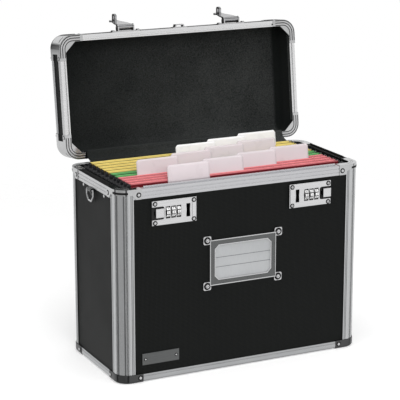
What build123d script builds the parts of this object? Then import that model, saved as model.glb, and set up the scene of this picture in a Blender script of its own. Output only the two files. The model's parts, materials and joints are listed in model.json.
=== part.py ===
# Portable file box: a framed case for hanging folders, with a hinged lid, two number locks and two hasps.
# Lengths are in millimetres. x runs left to right, y front to back, z up.
# The origin is under the middle of the case, in the plane that its base caps stand on.
# The lid is drawn shut and then turned open about the hinge pin.
import os
from math import cos, radians, sin

from build123d import *

os.makedirs("parts", exist_ok=True)

# Overall size
case_width = 350.0
case_depth = 163.0
case_height = 255.0
lid_depth = 47.5
rim_gap = 1.5
lid_angle = 97.0

# Clearances
slide_gap = 0.3
pin_gap = 0.05

# Walls and frame
corner_radius = 18.0
corner_leg = 22.0
frame_lap = 1.0
panel_thickness = 3.0
lining_thickness = 1.5
flute_radius = 0.9
rim_width = 10.0
rim_plate = 2.5
case_rim_height = 13.0
case_rim_inner = 10.0
lid_rim_height = 8.5
lid_rim_width = 8.0
tongue_width = 1.4
tongue_height = 2.4
base_rail_height = 11.0
base_rail_width = 10.0
base_edge = 3.0
panel_field = 0.2

# Corner caps
cap_skin = 0.8
cap_flange = 0.6
cap_leg = 33.0
cap_body = 24.0
case_chamfer = 25.0
lid_chamfer = 30.0
rim_cap_arch = 7.0
base_cap_height = 11.8
rivet_radius = 2.1
rivet_height = 0.9
rivet_u = 28.5
rivet_drop = 7.0
foot_z = 6.8
lid_rivet_u = 29.5

# Hinge
hinge_out = 4.0
hinge_inset = 35.0
knuckle_count = 14
knuckle_radius = 3.2
hinge_pin_radius = 1.5
leaf_thickness = 1.2
leaf_height = 9.0
cover_height = 20.0

# Locks
lock_inset = 77.0
lock_drop = 33.5
lock_length = 62.0
lock_height = 32.0
lock_thickness = 2.5
dial_shift = 1.5
dial_pitch = 7.5
dial_width = 5.4
dial_radius = 8.0
dial_proud = 2.2
dial_axle = 1.3
dial_notches = 10
window_width = 6.2
window_height = 15.6
slot_shift = 19.2
slot_width = 5.2
slot_height = 17.0
slot_waist = 4.6
recess_shift = 14.0
recess_height = 16.6
recess_depth = 1.5
button_width = 11.6
button_height = 12.0
button_proud = 1.2
button_travel = 4.0
lock_screw_radius = 2.0
lock_screw_rise = 0.9
lock_screw_edge = 3.6

# Hasps
hasp_z = 4.0
hasp_out = 6.5
hasp_width = 20.0
barrel_radius = 3.2
hasp_pin_radius = 1.2
tongue_plate = 1.6
tongue_reach = 43.5
tongue_tip = 12.0
staple_reach = 36.5
staple_length = 10.0
staple_height = 9.0
hasp_rest = 173.0
staple_width = 3.0
ear_thickness = 1.6
eyelet_x = 18.0
eyelet_radius = 4.0

# Label holder and nameplate
label_half_width = 48.0
label_drop = 28.5
label_height = 61.0
label_border = 8.0
label_cut = 5.0
label_lip = 1.4
label_plate = 1.6
ear_size = 11.0
label_screw_radius = 3.0
label_screw_rise = 1.6
ear_out = 3.5
name_inset = 31.6
name_z = 30.5
name_width = 52.0
name_height = 15.6

# Side rings
ring_y = 3.0
ring_below = 16.0
ring_width = 24.0
ring_drop = 13.0
ring_wire = 1.4
ring_out = 2.8
clip_width = 12.0
clip_plate = 1.0
clip_wall = 1.2
clip_drop = 8.0
clip_rise = 2.8
clip_pin_drop = 5.2
panel_rivet_back = 31.0
panel_rivet_front = -37.0

# Handle
handle_span = 110.0
handle_reach = 30.0
handle_up = 9.0
handle_wire = 2.5
grip_radius = 6.0
bracket_size = 16.0

# Folders
hook_room = 20.0
folder_above_rim = 3.0
folder_above_floor = 13.7
folder_roll = 1.0
roll_spread = 3.4
leaf_sheet = 0.8
rear_margin = 10.5
front_margin = 14.9
rear_pitch_share = 0.109
red_pitch_share = 0.0885
hook_thickness = 3.2
hook_rise = 0.5
hook_reach = 10.8
hook_crest = 3.4
hook_wall = 1.7
hook_grip = 3.0
hanger_out = 7.0
hanger_drop = 7.0
hanger_plate = 2.0
hanger_plate_height = 30.0
hanger_edge = 1.8
hanger_channel = 7.0
tab_width = 59.0
tab_height = 23.0
tab_foot = 4.0
tab_lean = 10.0
tab_thickness = 0.6
tab_round = 2.0
rear_tab_x = 65.5
middle_tab_x = 43.0
red_tab_x = 64.5
rear_tab_step = 53.0
middle_tab_step = 55.0
red_tab_step = 54.5

# Places that follow from the sizes above
half_w = case_width / 2
half_d = case_depth / 2
lid_rim = case_height + rim_gap
lid_top = lid_rim + lid_depth
hinge_y = half_d + hinge_out
hinge_length = case_width - 2 * hinge_inset
hinge_z = case_height + rim_gap / 2
wall_depth = frame_lap + panel_thickness
skin_depth = wall_depth + lining_thickness
rail_low = cap_skin
floor_low = rail_low + frame_lap
floor_high = floor_low + panel_thickness
floor_lined = floor_high + lining_thickness
post_low = cap_skin + base_edge + 0.2
plate_low = case_height - rim_plate
lid_plate_high = lid_rim + rim_plate
panel_face = half_d - frame_lap
lock_face = panel_face + lock_thickness
lock_z = case_height - lock_drop
lock_x = half_w - lock_inset
dial_x = lock_x + dial_shift
slot_x = lock_x - slot_shift
recess_x = lock_x + recess_shift
label_top = lock_z - lock_height / 2 - label_drop
label_bottom = label_top - label_height
ring_z = case_height - ring_below
name_x = name_inset + name_width / 2 - half_w
dial_y = -(lock_face + dial_proud - dial_radius)
lock_back = dial_y + dial_radius + 1.6
folder_half = half_w - skin_depth - hook_room
folder_top = case_height + folder_above_rim
folder_bottom = floor_lined + folder_above_floor
hook_top = folder_top + hook_rise
hook_shoulder = lid_rim - cap_flange - slide_gap
hook_tip_x = folder_half + hook_reach
hanger_x = folder_half + hanger_out
hanger_top = case_height - hanger_drop
rear_folder_y = half_d - skin_depth - rear_margin
front_folder_y = front_margin - half_d + skin_depth
folder_run = rear_folder_y - front_folder_y
rear_pitch = folder_run * rear_pitch_share
red_pitch = folder_run * red_pitch_share
red_folder_y = front_folder_y + 3 * red_pitch


def block(x0, x1, y0, y1, z0, z1):
    middle = Pos((x0 + x1) / 2, (y0 + y1) / 2, (z0 + z1) / 2)
    return middle * Box(abs(x1 - x0), abs(y1 - y0), abs(z1 - z0))


def rod_x(radius, x0, x1, y, z):
    return Pos((x0 + x1) / 2, y, z) * Rot(0, 90, 0) * Cylinder(radius, abs(x1 - x0))


def rod_y(radius, x, y0, y1, z):
    return Pos(x, (y0 + y1) / 2, z) * Rot(90, 0, 0) * Cylinder(radius, abs(y1 - y0))


def rod_z(radius, x, y, z0, z1):
    return Pos(x, y, (z0 + z1) / 2) * Cylinder(radius, abs(z1 - z0))


def prism_x(points, x0, x1):
    face = Plane.YZ * Polygon(*points, align=None)
    return Pos(x0, 0, 0) * extrude(face, x1 - x0, dir=(1, 0, 0))


def prism_y(points, y0, y1):
    face = Plane.XZ * Polygon(*points, align=None)
    return Pos(0, y0, 0) * extrude(face, y1 - y0, dir=(0, 1, 0))


def prism_z(points, z0, z1):
    face = Polygon(*points, align=None)
    return Pos(0, 0, z0) * extrude(face, z1 - z0, dir=(0, 0, 1))


def slab(inset, z0, z1):
    """The case's rounded outline, moved in by inset, between two heights."""
    outline = RectangleRounded(case_width - 2 * inset, case_depth - 2 * inset, corner_radius - inset)
    return Pos(0, 0, z0) * extrude(outline, z1 - z0)


def rounded_lid(inset):
    """The lid's outer form moved in by inset: round along its four corners and its four top edges."""
    low = lid_rim - 20
    body = block(-half_w + inset, half_w - inset, -half_d + inset, half_d - inset, low, lid_top - inset)
    edges = body.edges().filter_by(Axis.Z) + body.edges().group_by(Axis.Z)[-1]
    return fillet(edges, corner_radius - inset)


def left_right(shape):
    return [shape, mirror(shape, about=Plane.YZ)]


def front_back(shape):
    return [shape, mirror(shape, about=Plane.XZ)]


def four_corners(shape):
    """The front left shape and its mirror images at the other three corners."""
    near = left_right(shape)
    far = [mirror(item, about=Plane.XZ) for item in near]
    return near + far


def joined(shapes):
    total = shapes[0]
    for item in shapes[1:]:
        total = total + item
    return total


def corner_plan(leg, width, chamfer, z0, z1):
    """A corner plate of the front left corner: two legs and a slanted inner edge."""
    x = -half_w
    y = -half_d
    points = []
    points.append((x - 3, y - 3))
    points.append((x + leg, y - 3))
    points.append((x + leg, y + width))
    points.append((x + chamfer - width, y + width))
    points.append((x + width, y + chamfer - width))
    points.append((x + width, y + leg))
    points.append((x - 3, y + leg))
    return prism_z(points, z0, z1)


def dome(radius, height):
    """A low rivet head standing on z = 0."""
    head = Pos(0, 0, height / 2) * Cylinder(radius, height)
    return fillet(head.edges().group_by(Axis.Z)[-1], height * 0.8)


def dome_front(radius, height, x, y, z):
    return Pos(x, y, z) * Rot(90, 0, 0) * dome(radius, height)


def dome_left(radius, height, x, y, z):
    return Pos(x, y, z) * Rot(0, -90, 0) * dome(radius, height)


def opened(shape):
    turn = Pos(0, hinge_y, hinge_z) * Rot(-lid_angle, 0, 0) * Pos(0, -hinge_y, -hinge_z)
    return turn * shape


def save(name, shapes):
    solids = []
    for item in shapes:
        solids.extend(item.solids())
    if len(solids) == 1:
        export_step(solids[0], f"parts/{name}.step")
    else:
        export_step(Compound(children=solids), f"parts/{name}.step")
    print(name, len(solids))


# Frame extrusions


def corner_extrusion(length):
    """A rounded corner extrusion up z, with its corner at the origin and its legs along +x and +y."""
    r = corner_radius
    ring = Cylinder(r, length) - Cylinder(r - wall_depth, length)
    shape = (Pos(r, r, length / 2) * ring) & block(0, r, 0, r, 0, length)
    shape = shape + block(r, corner_leg, 0, frame_lap, 0, length)
    shape = shape + block(0, frame_lap, r, corner_leg, 0, length)
    for angle in (31, 60):
        reach = r + flute_radius * 0.35
        x = r - reach * cos(radians(angle))
        y = r - reach * sin(radians(angle))
        shape = shape - rod_z(flute_radius, x, y, 0, length)
    for place in (r - 0.2, r + 1.6):
        shape = shape - block(place, place + 0.7, -1, 0.3, 0, length)
        shape = shape - block(-1, 0.3, place, place + 0.7, 0, length)
    return shape


def rim_rail(length, width, outer, inner, way):
    """A rim rail along x: outer face at y = 0, rim face at z = 0, walls down (way -1) or up (way 1)."""
    points = []
    points.append((0, 0))
    points.append((width, 0))
    points.append((width, way * inner))
    points.append((skin_depth, way * inner))
    points.append((skin_depth, way * rim_plate))
    points.append((frame_lap, way * rim_plate))
    points.append((frame_lap, way * outer))
    points.append((0, way * outer))
    shape = prism_x(points, -length / 2, length / 2)
    for part in (0.32, 0.68):
        z = way * outer * part
        shape = shape - block(-length, length, -1, 0.3, z - 0.4, z + 0.4)
    return shape


def case_rim_rail(length, tongue_length):
    rail = rim_rail(length, rim_width, case_rim_height, case_rim_inner, -1)
    middle = rim_width / 2
    half = tongue_width / 2
    end = tongue_length / 2
    return rail + block(-end, end, middle - half, middle + half, 0, tongue_height)


def lid_rim_rail(length):
    rail = rim_rail(length, lid_rim_width, lid_rim_height, lid_rim_height - 1, 1)
    middle = rim_width / 2
    half = tongue_width / 2 + slide_gap + 0.1
    return rail - block(-length, length, middle - half, middle + half, -1, rim_plate - 0.8)


def rails_round(long_rail, short_rail, z):
    front = Pos(0, -half_d, z) * long_rail
    back = Pos(0, half_d, z) * Rot(0, 0, 180) * long_rail
    left = Pos(-half_w, 0, z) * Rot(0, 0, -90) * short_rail
    right = Pos(half_w, 0, z) * Rot(0, 0, 90) * short_rail
    return front, back, left, right


def base_rail(length):
    """A base rail along x: outer face at y = 0, underside at z = 0, lapping wall and bottom panel."""
    high = base_rail_height - rail_low
    wall = block(-length / 2, length / 2, 0, frame_lap, 0, high)
    foot = block(-length / 2, length / 2, 0, base_rail_width, 0, frame_lap)
    shape = wall + foot
    shape = shape + block(-length / 2, length / 2, 0, base_edge, 0, base_edge)
    edges = shape.edges().filter_by(Axis.X).sort_by(lambda edge: edge.center().Y + edge.center().Z)
    shape = fillet(edges[0], base_edge - 0.2)
    shape = shape - block(-length, length, frame_lap, 20, frame_lap, 20)
    z = high * 0.72
    return shape - block(-length, length, -1, 0.35, z - 0.4, z + 0.4)


# Case walls and frame

long_run = case_width - 2 * corner_leg
short_run = case_depth - 2 * corner_leg
wall_end_x = half_w - corner_radius
wall_end_y = half_d - corner_radius

posts = four_corners(Pos(-half_w, -half_d, post_low) * corner_extrusion(plate_low - post_low))

long_case_rail = case_rim_rail(long_run, case_width - 2 * (cap_leg + 4))
short_case_rail = case_rim_rail(short_run, case_depth - 2 * (cap_leg + 4))
rim_front, rim_back, rim_left, rim_right = rails_round(long_case_rail, short_case_rail, case_height)

base_rails = list(rails_round(base_rail(long_run), base_rail(short_run), rail_low))


def lock_body_block(extra):
    """The room one right-hand lock body takes behind its plate."""
    x0 = slot_x - slot_width / 2 - 2.5
    x1 = lock_x + lock_length / 2 - 3
    z = lock_height / 2 - 3
    return block(x0 - extra, x1 + extra, -panel_face, lock_back, lock_z - z - extra, lock_z + z + extra)


front_panel = block(-wall_end_x, wall_end_x, -panel_face, -half_d + wall_depth, floor_low, plate_low)
back_panel = mirror(front_panel, about=Plane.XZ)
left_panel = block(-half_w + frame_lap, -half_w + wall_depth, -wall_end_y, wall_end_y, floor_low, plate_low)
right_panel = mirror(left_panel, about=Plane.YZ)
for body in left_right(lock_body_block(0)):
    front_panel = front_panel - body
field_x = half_w - rim_width - 1
field_y = half_d - rim_width - 1
field_cut = 15.0
field_plan = []
for side_x, side_y in ((1, 1), (-1, 1), (-1, -1), (1, -1)):
    along_edge = (side_x * (field_x - field_cut), side_y * field_y)
    up_edge = (side_x * field_x, side_y * (field_y - field_cut))
    field_plan.extend((up_edge, along_edge) if side_x == side_y else (along_edge, up_edge))
bottom_panel = slab(wall_depth, floor_low, floor_high)
bottom_panel = bottom_panel + prism_z(field_plan, floor_low - panel_field, floor_low)

case_lining = slab(wall_depth, floor_high, plate_low) - slab(skin_depth, floor_lined, case_height)
for body in left_right(lock_body_block(0)):
    case_lining = case_lining - body


# Corner caps of the case


def rim_corner_caps():
    skirt_high = slab(-cap_skin, case_height - case_rim_height, case_height + cap_flange)
    skirt = skirt_high - slab(0, case_height - case_rim_height - 1, case_height)
    x = -half_w
    y = -half_d
    low = case_height - case_rim_height
    high = case_height + 5
    arch = case_height - rim_cap_arch
    outline = []
    outline.append((cap_leg, high))
    outline.append((cap_leg, low + 0.6))
    outline.append((cap_leg - 0.6, low))
    outline.append((corner_leg + 3, low))
    outline.append((corner_radius + 1.5, arch))
    outline.append((-3, arch))
    outline.append((-3, high))
    along_x = prism_y([(x + u, z) for u, z in outline], y - 3, y + corner_radius)
    along_y = prism_x([(y + u, z) for u, z in outline], x - 3, x + corner_radius)
    fill = slab(0, plate_low, case_height)
    fill = fill & corner_plan(corner_leg, rim_width, case_chamfer, plate_low, case_height)
    flange = slab(-cap_skin, case_height, case_height + cap_flange)
    flange = flange & corner_plan(cap_leg, rim_width, case_chamfer, case_height, case_height + cap_flange)
    cap = (skirt & (along_x + along_y)) & block(x - 5, x + cap_leg, y - 5, y + cap_leg, low, case_height)
    cap = cap + fill + flange
    centre = Pos(x + corner_radius, y + corner_radius, case_height - 4.3)
    for angle in (29, 61):
        turned = centre * Rot(0, 0, 180 + angle)
        cap = cap - turned * (Pos(corner_radius - 0.6, 0, 0) * Box(2.2, 3.6, 2.0))
    for step in (4.2, 6.6):
        ring = Cylinder(corner_radius - step + 0.35, 1) - Cylinder(corner_radius - step - 0.35, 1)
        ring = ring & block(-cap_leg, 0, -cap_leg, 0, -1, 1)
        cap = cap - Pos(x + corner_radius, y + corner_radius, case_height + cap_flange + 0.2) * ring
    return four_corners(cap)


def base_corner_caps():
    pan = slab(-cap_skin, 0, base_cap_height)
    pan = fillet(pan.edges().group_by(Axis.Z)[0], base_edge + cap_skin - 0.2)
    high = base_cap_height + 1
    x = -half_w
    y = -half_d
    wall = pan & corner_plan(cap_leg, wall_depth, cap_leg, 0, base_cap_height)
    round_part = block(x - 5, x + corner_radius, y - 5, y + corner_radius, 0, base_cap_height)
    wall = wall + (pan & round_part)
    wall = wall - slab(0, post_low, high) - slab(wall_depth, floor_low, high)
    low_part = pan & corner_plan(cap_leg, rim_width, lid_chamfer, 0, floor_low)
    cap = wall + low_part
    cap = cap - joined(base_rails)
    cap = cap - block(-wall_end_x, 0, -panel_face, 0, floor_low, high)
    cap = cap - block(-half_w + frame_lap, 0, -wall_end_y, 0, floor_low, high)
    return four_corners(cap)


rim_caps = rim_corner_caps()
base_caps = base_corner_caps()

rivet_z = case_height - rivet_drop
rivets = []
for z in (rivet_z, foot_z):
    front_rivet = dome_front(rivet_radius, rivet_height, -half_w + rivet_u, -half_d - cap_skin, z)
    side_rivet = dome_left(rivet_radius, rivet_height, -half_w - cap_skin, -half_d + rivet_u, z)
    rivets.extend(four_corners(front_rivet))
    rivets.extend(four_corners(side_rivet))
for y in (panel_rivet_back, panel_rivet_front):
    panel_rivet = dome_left(rivet_radius, rivet_height, -half_w + frame_lap, y, ring_z + 0.5)
    rivets.extend(left_right(panel_rivet))


# Rails that the folders hang on


def hanging_rail():
    inner = -half_w + skin_depth
    top = case_height - case_rim_inner
    reach = wall_end_y - 3
    low = hanger_top - hanger_channel
    back_plate = block(inner, inner + hanger_plate, -reach, reach, hanger_top - hanger_plate_height, top)
    shelf = block(inner, -hanger_x, -reach, reach, low, low + hanger_plate)
    edge = block(-hanger_x - hanger_edge, -hanger_x, -reach, reach, low, hanger_top)
    return back_plate + shelf + edge


file_rails = left_right(hanging_rail())


# Hinge


def hinge_knuckles(first):
    """Every second knuckle, starting with the first or the second one."""
    pitch = hinge_length / knuckle_count
    shapes = []
    for index in range(first, knuckle_count, 2):
        x0 = -hinge_length / 2 + index * pitch + 0.15
        shapes.append((x0, x0 + pitch - 0.3))
    return shapes


def hinge_leaf(first, way):
    """One leaf on the back of the case (way -1) or of the lid (way 1)."""
    face = half_d
    start = hinge_z + way * 2.4
    end = start + way * leaf_height
    leaf = block(-hinge_length / 2, hinge_length / 2, face, face + leaf_thickness, start, end)
    for x0, x1 in hinge_knuckles(first):
        leaf = leaf + rod_x(knuckle_radius, x0, x1, hinge_y, hinge_z)
        leaf = leaf + block(x0, x1, face, face + 2.4, hinge_z + way * (rim_gap / 2), start + way)
    bore = hinge_pin_radius if way < 0 else hinge_pin_radius + pin_gap
    leaf = leaf - rod_x(bore, -hinge_length, hinge_length, hinge_y, hinge_z)
    for index in range(8):
        x = -hinge_length / 2 + (index + 0.5) * hinge_length / 8
        z = start + way * leaf_height * 0.55
        leaf = leaf - rod_y(1.3, x, face + 0.6, face + 5, z)
    return leaf


case_leaf = hinge_leaf(0, -1)
lid_leaf = hinge_leaf(1, 1)
hinge_pin = rod_x(hinge_pin_radius, -hinge_length / 2, hinge_length / 2, hinge_y, hinge_z)


# Locks, drawn for the right-hand side


def slot_opening(y0, y1):
    """The upright slot, wide at both ends and narrow in the middle."""
    high = slot_height / 2
    end = slot_width / 2
    waist = slot_waist / 2
    points = []
    points.append((slot_x - end, lock_z - high))
    points.append((slot_x + end, lock_z - high))
    points.append((slot_x + end, lock_z - high + 4))
    points.append((slot_x + waist, lock_z - 1.5))
    points.append((slot_x + waist, lock_z + 1.5))
    points.append((slot_x + end, lock_z + high - 4))
    points.append((slot_x + end, lock_z + high))
    points.append((slot_x - end, lock_z + high))
    points.append((slot_x - end, lock_z + high - 4))
    points.append((slot_x - waist, lock_z + 1.5))
    points.append((slot_x - waist, lock_z - 1.5))
    points.append((slot_x - end, lock_z - high + 4))
    return prism_y(points, y0, y1)


lock_outer = lock_x + lock_length / 2
lock_inner = lock_x - lock_length / 2
recess_floor = -lock_face + recess_depth


def lock_plate():
    low = lock_z - lock_height / 2
    plate = block(lock_inner, lock_outer, -lock_face, -panel_face, low, low + lock_height)
    plate = chamfer(plate.edges().group_by(Axis.Y)[0], 0.6)
    plate = plate - slot_opening(-lock_face - 1, -panel_face + 1)
    for index in (-1, 0, 1):
        x = dial_x + index * dial_pitch
        window = block(x - window_width / 2, x + window_width / 2, -lock_face - 1, -panel_face + 1,
                       lock_z - window_height / 2, lock_z + window_height / 2)
        plate = plate - window
    high = recess_height / 2
    recess = block(recess_x, lock_outer + 1, -lock_face - 1, recess_floor, lock_z - high, lock_z + high)
    recess = fillet(recess.edges().filter_by(Axis.Y).sort_by(Axis.X)[0:2], 3)
    plate = plate - recess
    plate = plate - stem_slot(-lock_face, 0)
    raised = -lock_face - 0.5
    strip = block(lock_inner + 1.2, lock_inner + 6.4, raised, -lock_face, lock_z - 9.5, lock_z + 9.5)
    return plate + strip


def stem_slot(y0, extra):
    x0 = recess_x + 2.4
    x1 = lock_outer - 3.7
    return block(x0 - extra, x1 + extra, y0, -half_d + 8, lock_z - 2.5 - extra, lock_z + 2.5 + extra)


def lock_body():
    body = lock_body_block(0)
    body = body - slot_opening(-panel_face - 1, lock_back - 1.2)
    reach = dial_pitch + dial_width / 2 + 0.6
    pocket = rod_x(dial_radius + 0.5, dial_x - reach, dial_x + reach, dial_y, lock_z)
    body = body - pocket
    body = body - block(dial_x - reach, dial_x + reach, -panel_face - 1, dial_y, lock_z - window_height / 2,
                        lock_z + window_height / 2)
    body = body - stem_slot(-panel_face - 1, 0)
    return body + rod_x(dial_axle, dial_x - reach - 0.5, dial_x + reach + 0.5, dial_y, lock_z)


def dial(index):
    x = dial_x + index * dial_pitch
    half = dial_width / 2
    wheel = rod_x(dial_radius, x - half, x + half, dial_y, lock_z)
    wheel = chamfer(wheel.edges().filter_by(GeomType.CIRCLE), 0.5)
    wheel = wheel - rod_x(dial_axle + pin_gap, x - half - 1, x + half + 1, dial_y, lock_z)
    for step in range(dial_notches):
        angle = radians(step * 360 / dial_notches + 180 / dial_notches)
        y = dial_y + (dial_radius + 0.35) * cos(angle)
        z = lock_z + (dial_radius + 0.35) * sin(angle)
        wheel = wheel - rod_x(0.8, x - half - 1, x + half + 1, y, z)
    return wheel


def lock_button(shift):
    """The sliding pad of one lock and its stem; shift moves it along the recess."""
    x0 = recess_x + 5.0 + shift
    x1 = x0 + button_width
    high = button_height / 2
    pad = block(x0, x1, -lock_face - button_proud, recess_floor - slide_gap, lock_z - high, lock_z + high)
    pad = fillet(pad.edges().group_by(Axis.Y)[0], 0.6)
    middle = (x0 + x1) / 2
    stem = block(middle - 2, middle + 2, recess_floor - slide_gap - 0.2, -half_d + 6, lock_z - 2, lock_z + 2)
    return pad + stem


right_button = lock_button(0)
left_button = mirror(lock_button(-4.6), about=Plane.YZ)


def screw_head(radius, height, x, y, z, turn):
    """A slotted dome screw head that faces the front."""
    head = dome(radius, height)
    head = head - Rot(0, 0, turn) * Pos(0, 0, height) * Box(radius * 1.5, 0.6, height)
    return Pos(x, y, z) * Rot(90, 0, 0) * head


lock_screws = []
for x in (lock_inner + 4.0, lock_outer - 4.2):
    for z in (lock_z - lock_height / 2 + lock_screw_edge, lock_z + lock_height / 2 - lock_screw_edge):
        screw = screw_head(lock_screw_radius, lock_screw_rise, x, -lock_face, z, 40)
        lock_screws.extend(left_right(screw))


# Label holder and nameplate


def label_window(grow, y0, y1):
    """The opening of the label holder, with its corners cut off; grow widens it all round."""
    x = label_half_width - label_border + grow
    low = label_bottom + label_border - grow
    high = label_top - label_border + grow
    cut = label_cut + grow / 2
    points = []
    points.append((-x + cut, low))
    points.append((x - cut, low))
    points.append((x, low + cut))
    points.append((x, high - cut))
    points.append((x - cut, high))
    points.append((-x + cut, high))
    points.append((-x, high - cut))
    points.append((-x, low + cut))
    return prism_y(points, y0, y1)


def label_frame():
    half = label_half_width
    face = -panel_face - label_plate
    frame = block(-half, half, face, -panel_face, label_bottom, label_top)
    for x in (-half - ear_out, half + ear_out):
        for z in (label_bottom, label_top):
            ear = Pos(x, face + label_plate / 2, z) * Box(ear_size, label_plate, ear_size)
            frame = frame + fillet(ear.edges().filter_by(Axis.Y), 2.2)
    lip = block(-half, half, face - 0.8, face, label_bottom, label_top)
    inside = half - label_lip
    lip = lip - block(-inside, inside, face - 5, face + 5, label_bottom + label_lip, label_top - label_lip)
    frame = frame + chamfer(lip.edges().group_by(Axis.Y)[0], 0.3)
    frame = frame + label_window(1.2, face - 0.5, face)
    return frame - label_window(0, face - 5, -panel_face + 1)


def label_card():
    return label_window(0, -panel_face - 0.6, -panel_face)


label_screws = []
for x in (-label_half_width - ear_out, label_half_width + ear_out):
    for z in (label_bottom, label_top):
        screw = screw_head(label_screw_radius, label_screw_rise, x, -panel_face - label_plate, z, 25)
        label_screws.append(screw)

nameplate = block(name_x - name_width / 2, name_x + name_width / 2, -panel_face - 1.0, -panel_face,
                  name_z - name_height / 2, name_z + name_height / 2)
nameplate = chamfer(nameplate.edges().group_by(Axis.Y)[0], 0.3)
name_pins = []
for side in (-1, 1):
    x = name_x + side * (name_width / 2 - 4.5)
    name_pins.append(dome_front(1.3, 0.7, x, -panel_face - 1.0, name_z))


# Side rings, drawn for the left-hand side

ring_x = -half_w - ring_out + frame_lap


def ring_clip():
    face = -half_w + frame_lap
    half = clip_width / 2
    front = ring_y - half
    plate = block(face - clip_plate, face, front, front + clip_width, ring_z - clip_drop, ring_z + clip_rise)
    tube = rod_y(ring_wire + clip_wall, ring_x, ring_y - half, ring_y + half, ring_z)
    tube_high = ring_wire + clip_wall
    tube = tube + block(ring_x, face, ring_y - half, ring_y + half, ring_z - tube_high, ring_z + tube_high)
    clip = plate + tube
    clip = clip - rod_y(ring_wire + pin_gap, ring_x, ring_y - ring_width, ring_y + ring_width, ring_z)
    clip = clip & block(-half_w * 2, face, ring_y - half, ring_y + half, 0, case_height)
    return clip + dome_left(1.4, 0.6, face - clip_plate, ring_y, ring_z - clip_pin_drop)


def ring():
    """A D-shaped ring of round wire hanging from its straight bar."""
    half = ring_width / 2 - ring_wire
    path = Polyline((0, -half, 0), (0, half, 0), (0, half, -ring_drop + 6), (0, half - 6, -ring_drop - 1.5),
                    (0, -half + 6, -ring_drop - 1.5), (0, -half, -ring_drop + 6), close=True)
    wire = path.fillet_2d(2.2, path.vertices()) if hasattr(path, "fillet_2d") else path
    start = Plane(origin=(0, 0, 0), z_dir=(0, 1, 0))
    loop = sweep(start * Circle(ring_wire), path=wire, transition=Transition.ROUND)
    return Pos(ring_x, ring_y, ring_z) * loop


# Lid, drawn shut

lid_wall_top = lid_top - corner_radius
lid_front = block(-wall_end_x, wall_end_x, -panel_face, -half_d + wall_depth, lid_plate_high, lid_wall_top)
lid_back = mirror(lid_front, about=Plane.XZ)
lid_left_face = -half_w + frame_lap
lid_left_back = lid_left_face + panel_thickness
lid_left = block(lid_left_face, lid_left_back, -wall_end_y, wall_end_y, lid_plate_high, lid_wall_top)
lid_ends = left_right(lid_left)
lid_panel_low = lid_top - wall_depth
lid_panel = block(-wall_end_x, wall_end_x, -wall_end_y, wall_end_y, lid_panel_low, lid_top - frame_lap)
lid_rails = list(rails_round(lid_rim_rail(long_run), lid_rim_rail(short_run), lid_rim))

front_edge_place = Plane(origin=(long_run / 2, -half_d, lid_top), x_dir=(0, 1, 0), z_dir=(-1, 0, 0))
left_edge_place = Plane(origin=(-half_w, -short_run / 2, lid_top), x_dir=(1, 0, 0), z_dir=(0, 1, 0))
front_edge = front_edge_place.location * corner_extrusion(long_run)
left_edge = left_edge_place.location * corner_extrusion(short_run)
edge_rails = front_back(front_edge) + left_right(left_edge)

lid_above = block(-case_width, case_width, -case_depth, case_depth, lid_plate_high, lid_top)
lid_lining = (rounded_lid(wall_depth) - rounded_lid(skin_depth)) & lid_above


def lid_corner_cap():
    x = -half_w
    y = -half_d
    skin = rounded_lid(-cap_skin) - rounded_lid(0)
    high = lid_top + 2
    body = block(x - 3, x + cap_body, y - 3, y + cap_body, lid_rim, high)
    top_leg_x = block(x - 3, x + cap_leg, y - 3, y + corner_leg, lid_top - corner_leg, high)
    top_leg_y = block(x - 3, x + corner_leg, y - 3, y + cap_leg, lid_top - corner_leg, high)
    rim_leg_x = block(x - 3, x + cap_leg, y - 3, y + 5, lid_rim, lid_rim + lid_rim_height)
    rim_leg_y = block(x - 3, x + 5, y - 3, y + cap_leg, lid_rim, lid_rim + lid_rim_height)
    keep = body + top_leg_x + top_leg_y + rim_leg_x + rim_leg_y
    cap = skin & keep
    shell = rounded_lid(0) - rounded_lid(wall_depth)
    cap = cap + (shell & block(x, x + corner_leg, y, y + corner_leg, lid_rim, lid_top))
    cap = cap - lid_front - lid_left - lid_panel - front_edge - left_edge
    plate = slab(0, lid_rim, lid_plate_high)
    plate = plate & corner_plan(corner_leg, lid_rim_width, lid_chamfer, lid_rim, lid_plate_high)
    flange_low = lid_rim - cap_flange
    flange = slab(-cap_skin, flange_low, lid_rim)
    flange = flange & corner_plan(cap_leg, lid_rim_width, lid_chamfer, flange_low, lid_rim)
    cap = cap - lid_rails[0] - lid_rails[2]
    cap = cap + plate + flange
    centre = Pos(x + corner_radius, y + corner_radius, 0)
    spot = centre * Rot(0, 0, 180 + 45)
    cap = cap - spot * (Pos(corner_radius, 0, lid_rim + 7) * Box(3.0, 9.0, 2.2))
    for step in (3.6, 7.0):
        ring = Cylinder(corner_radius - step + 0.4, 1) - Cylinder(corner_radius - step - 0.4, 1)
        ring = ring & block(-cap_leg, 0, -cap_leg, 0, -1, 1)
        cap = cap - Pos(x + corner_radius, y + corner_radius, flange_low - 0.2) * ring
    return cap


lid_caps = four_corners(lid_corner_cap())

lid_rivets = []
lid_head = dome(1.8, rivet_height)
for angle in (0, 35):
    # The upper rivets stand square to the rounded legs of the caps.
    out = (corner_radius + cap_skin) * cos(radians(angle)) - corner_radius
    z = lid_rim + 4.2
    if angle > 0:
        z = lid_wall_top + (corner_radius + cap_skin) * sin(radians(angle))
    front_head = Pos(-half_w + lid_rivet_u, -half_d - out, z) * Rot(90 - angle, 0, 0) * lid_head
    side_head = Pos(-half_w - out, -half_d + lid_rivet_u, z) * Rot(0, angle - 90, 0) * lid_head
    lid_rivets.extend(four_corners(front_head))
    lid_rivets.extend(four_corners(side_head))

strip_y = half_d - lid_rim_width
cover_half = half_w - cap_body
cover_low = case_height + cap_flange + slide_gap
hinge_cover = block(-cover_half, cover_half, strip_y - 0.8, strip_y, cover_low, lid_rim + cover_height)


# Hasps, drawn shut, for the right-hand side

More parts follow.
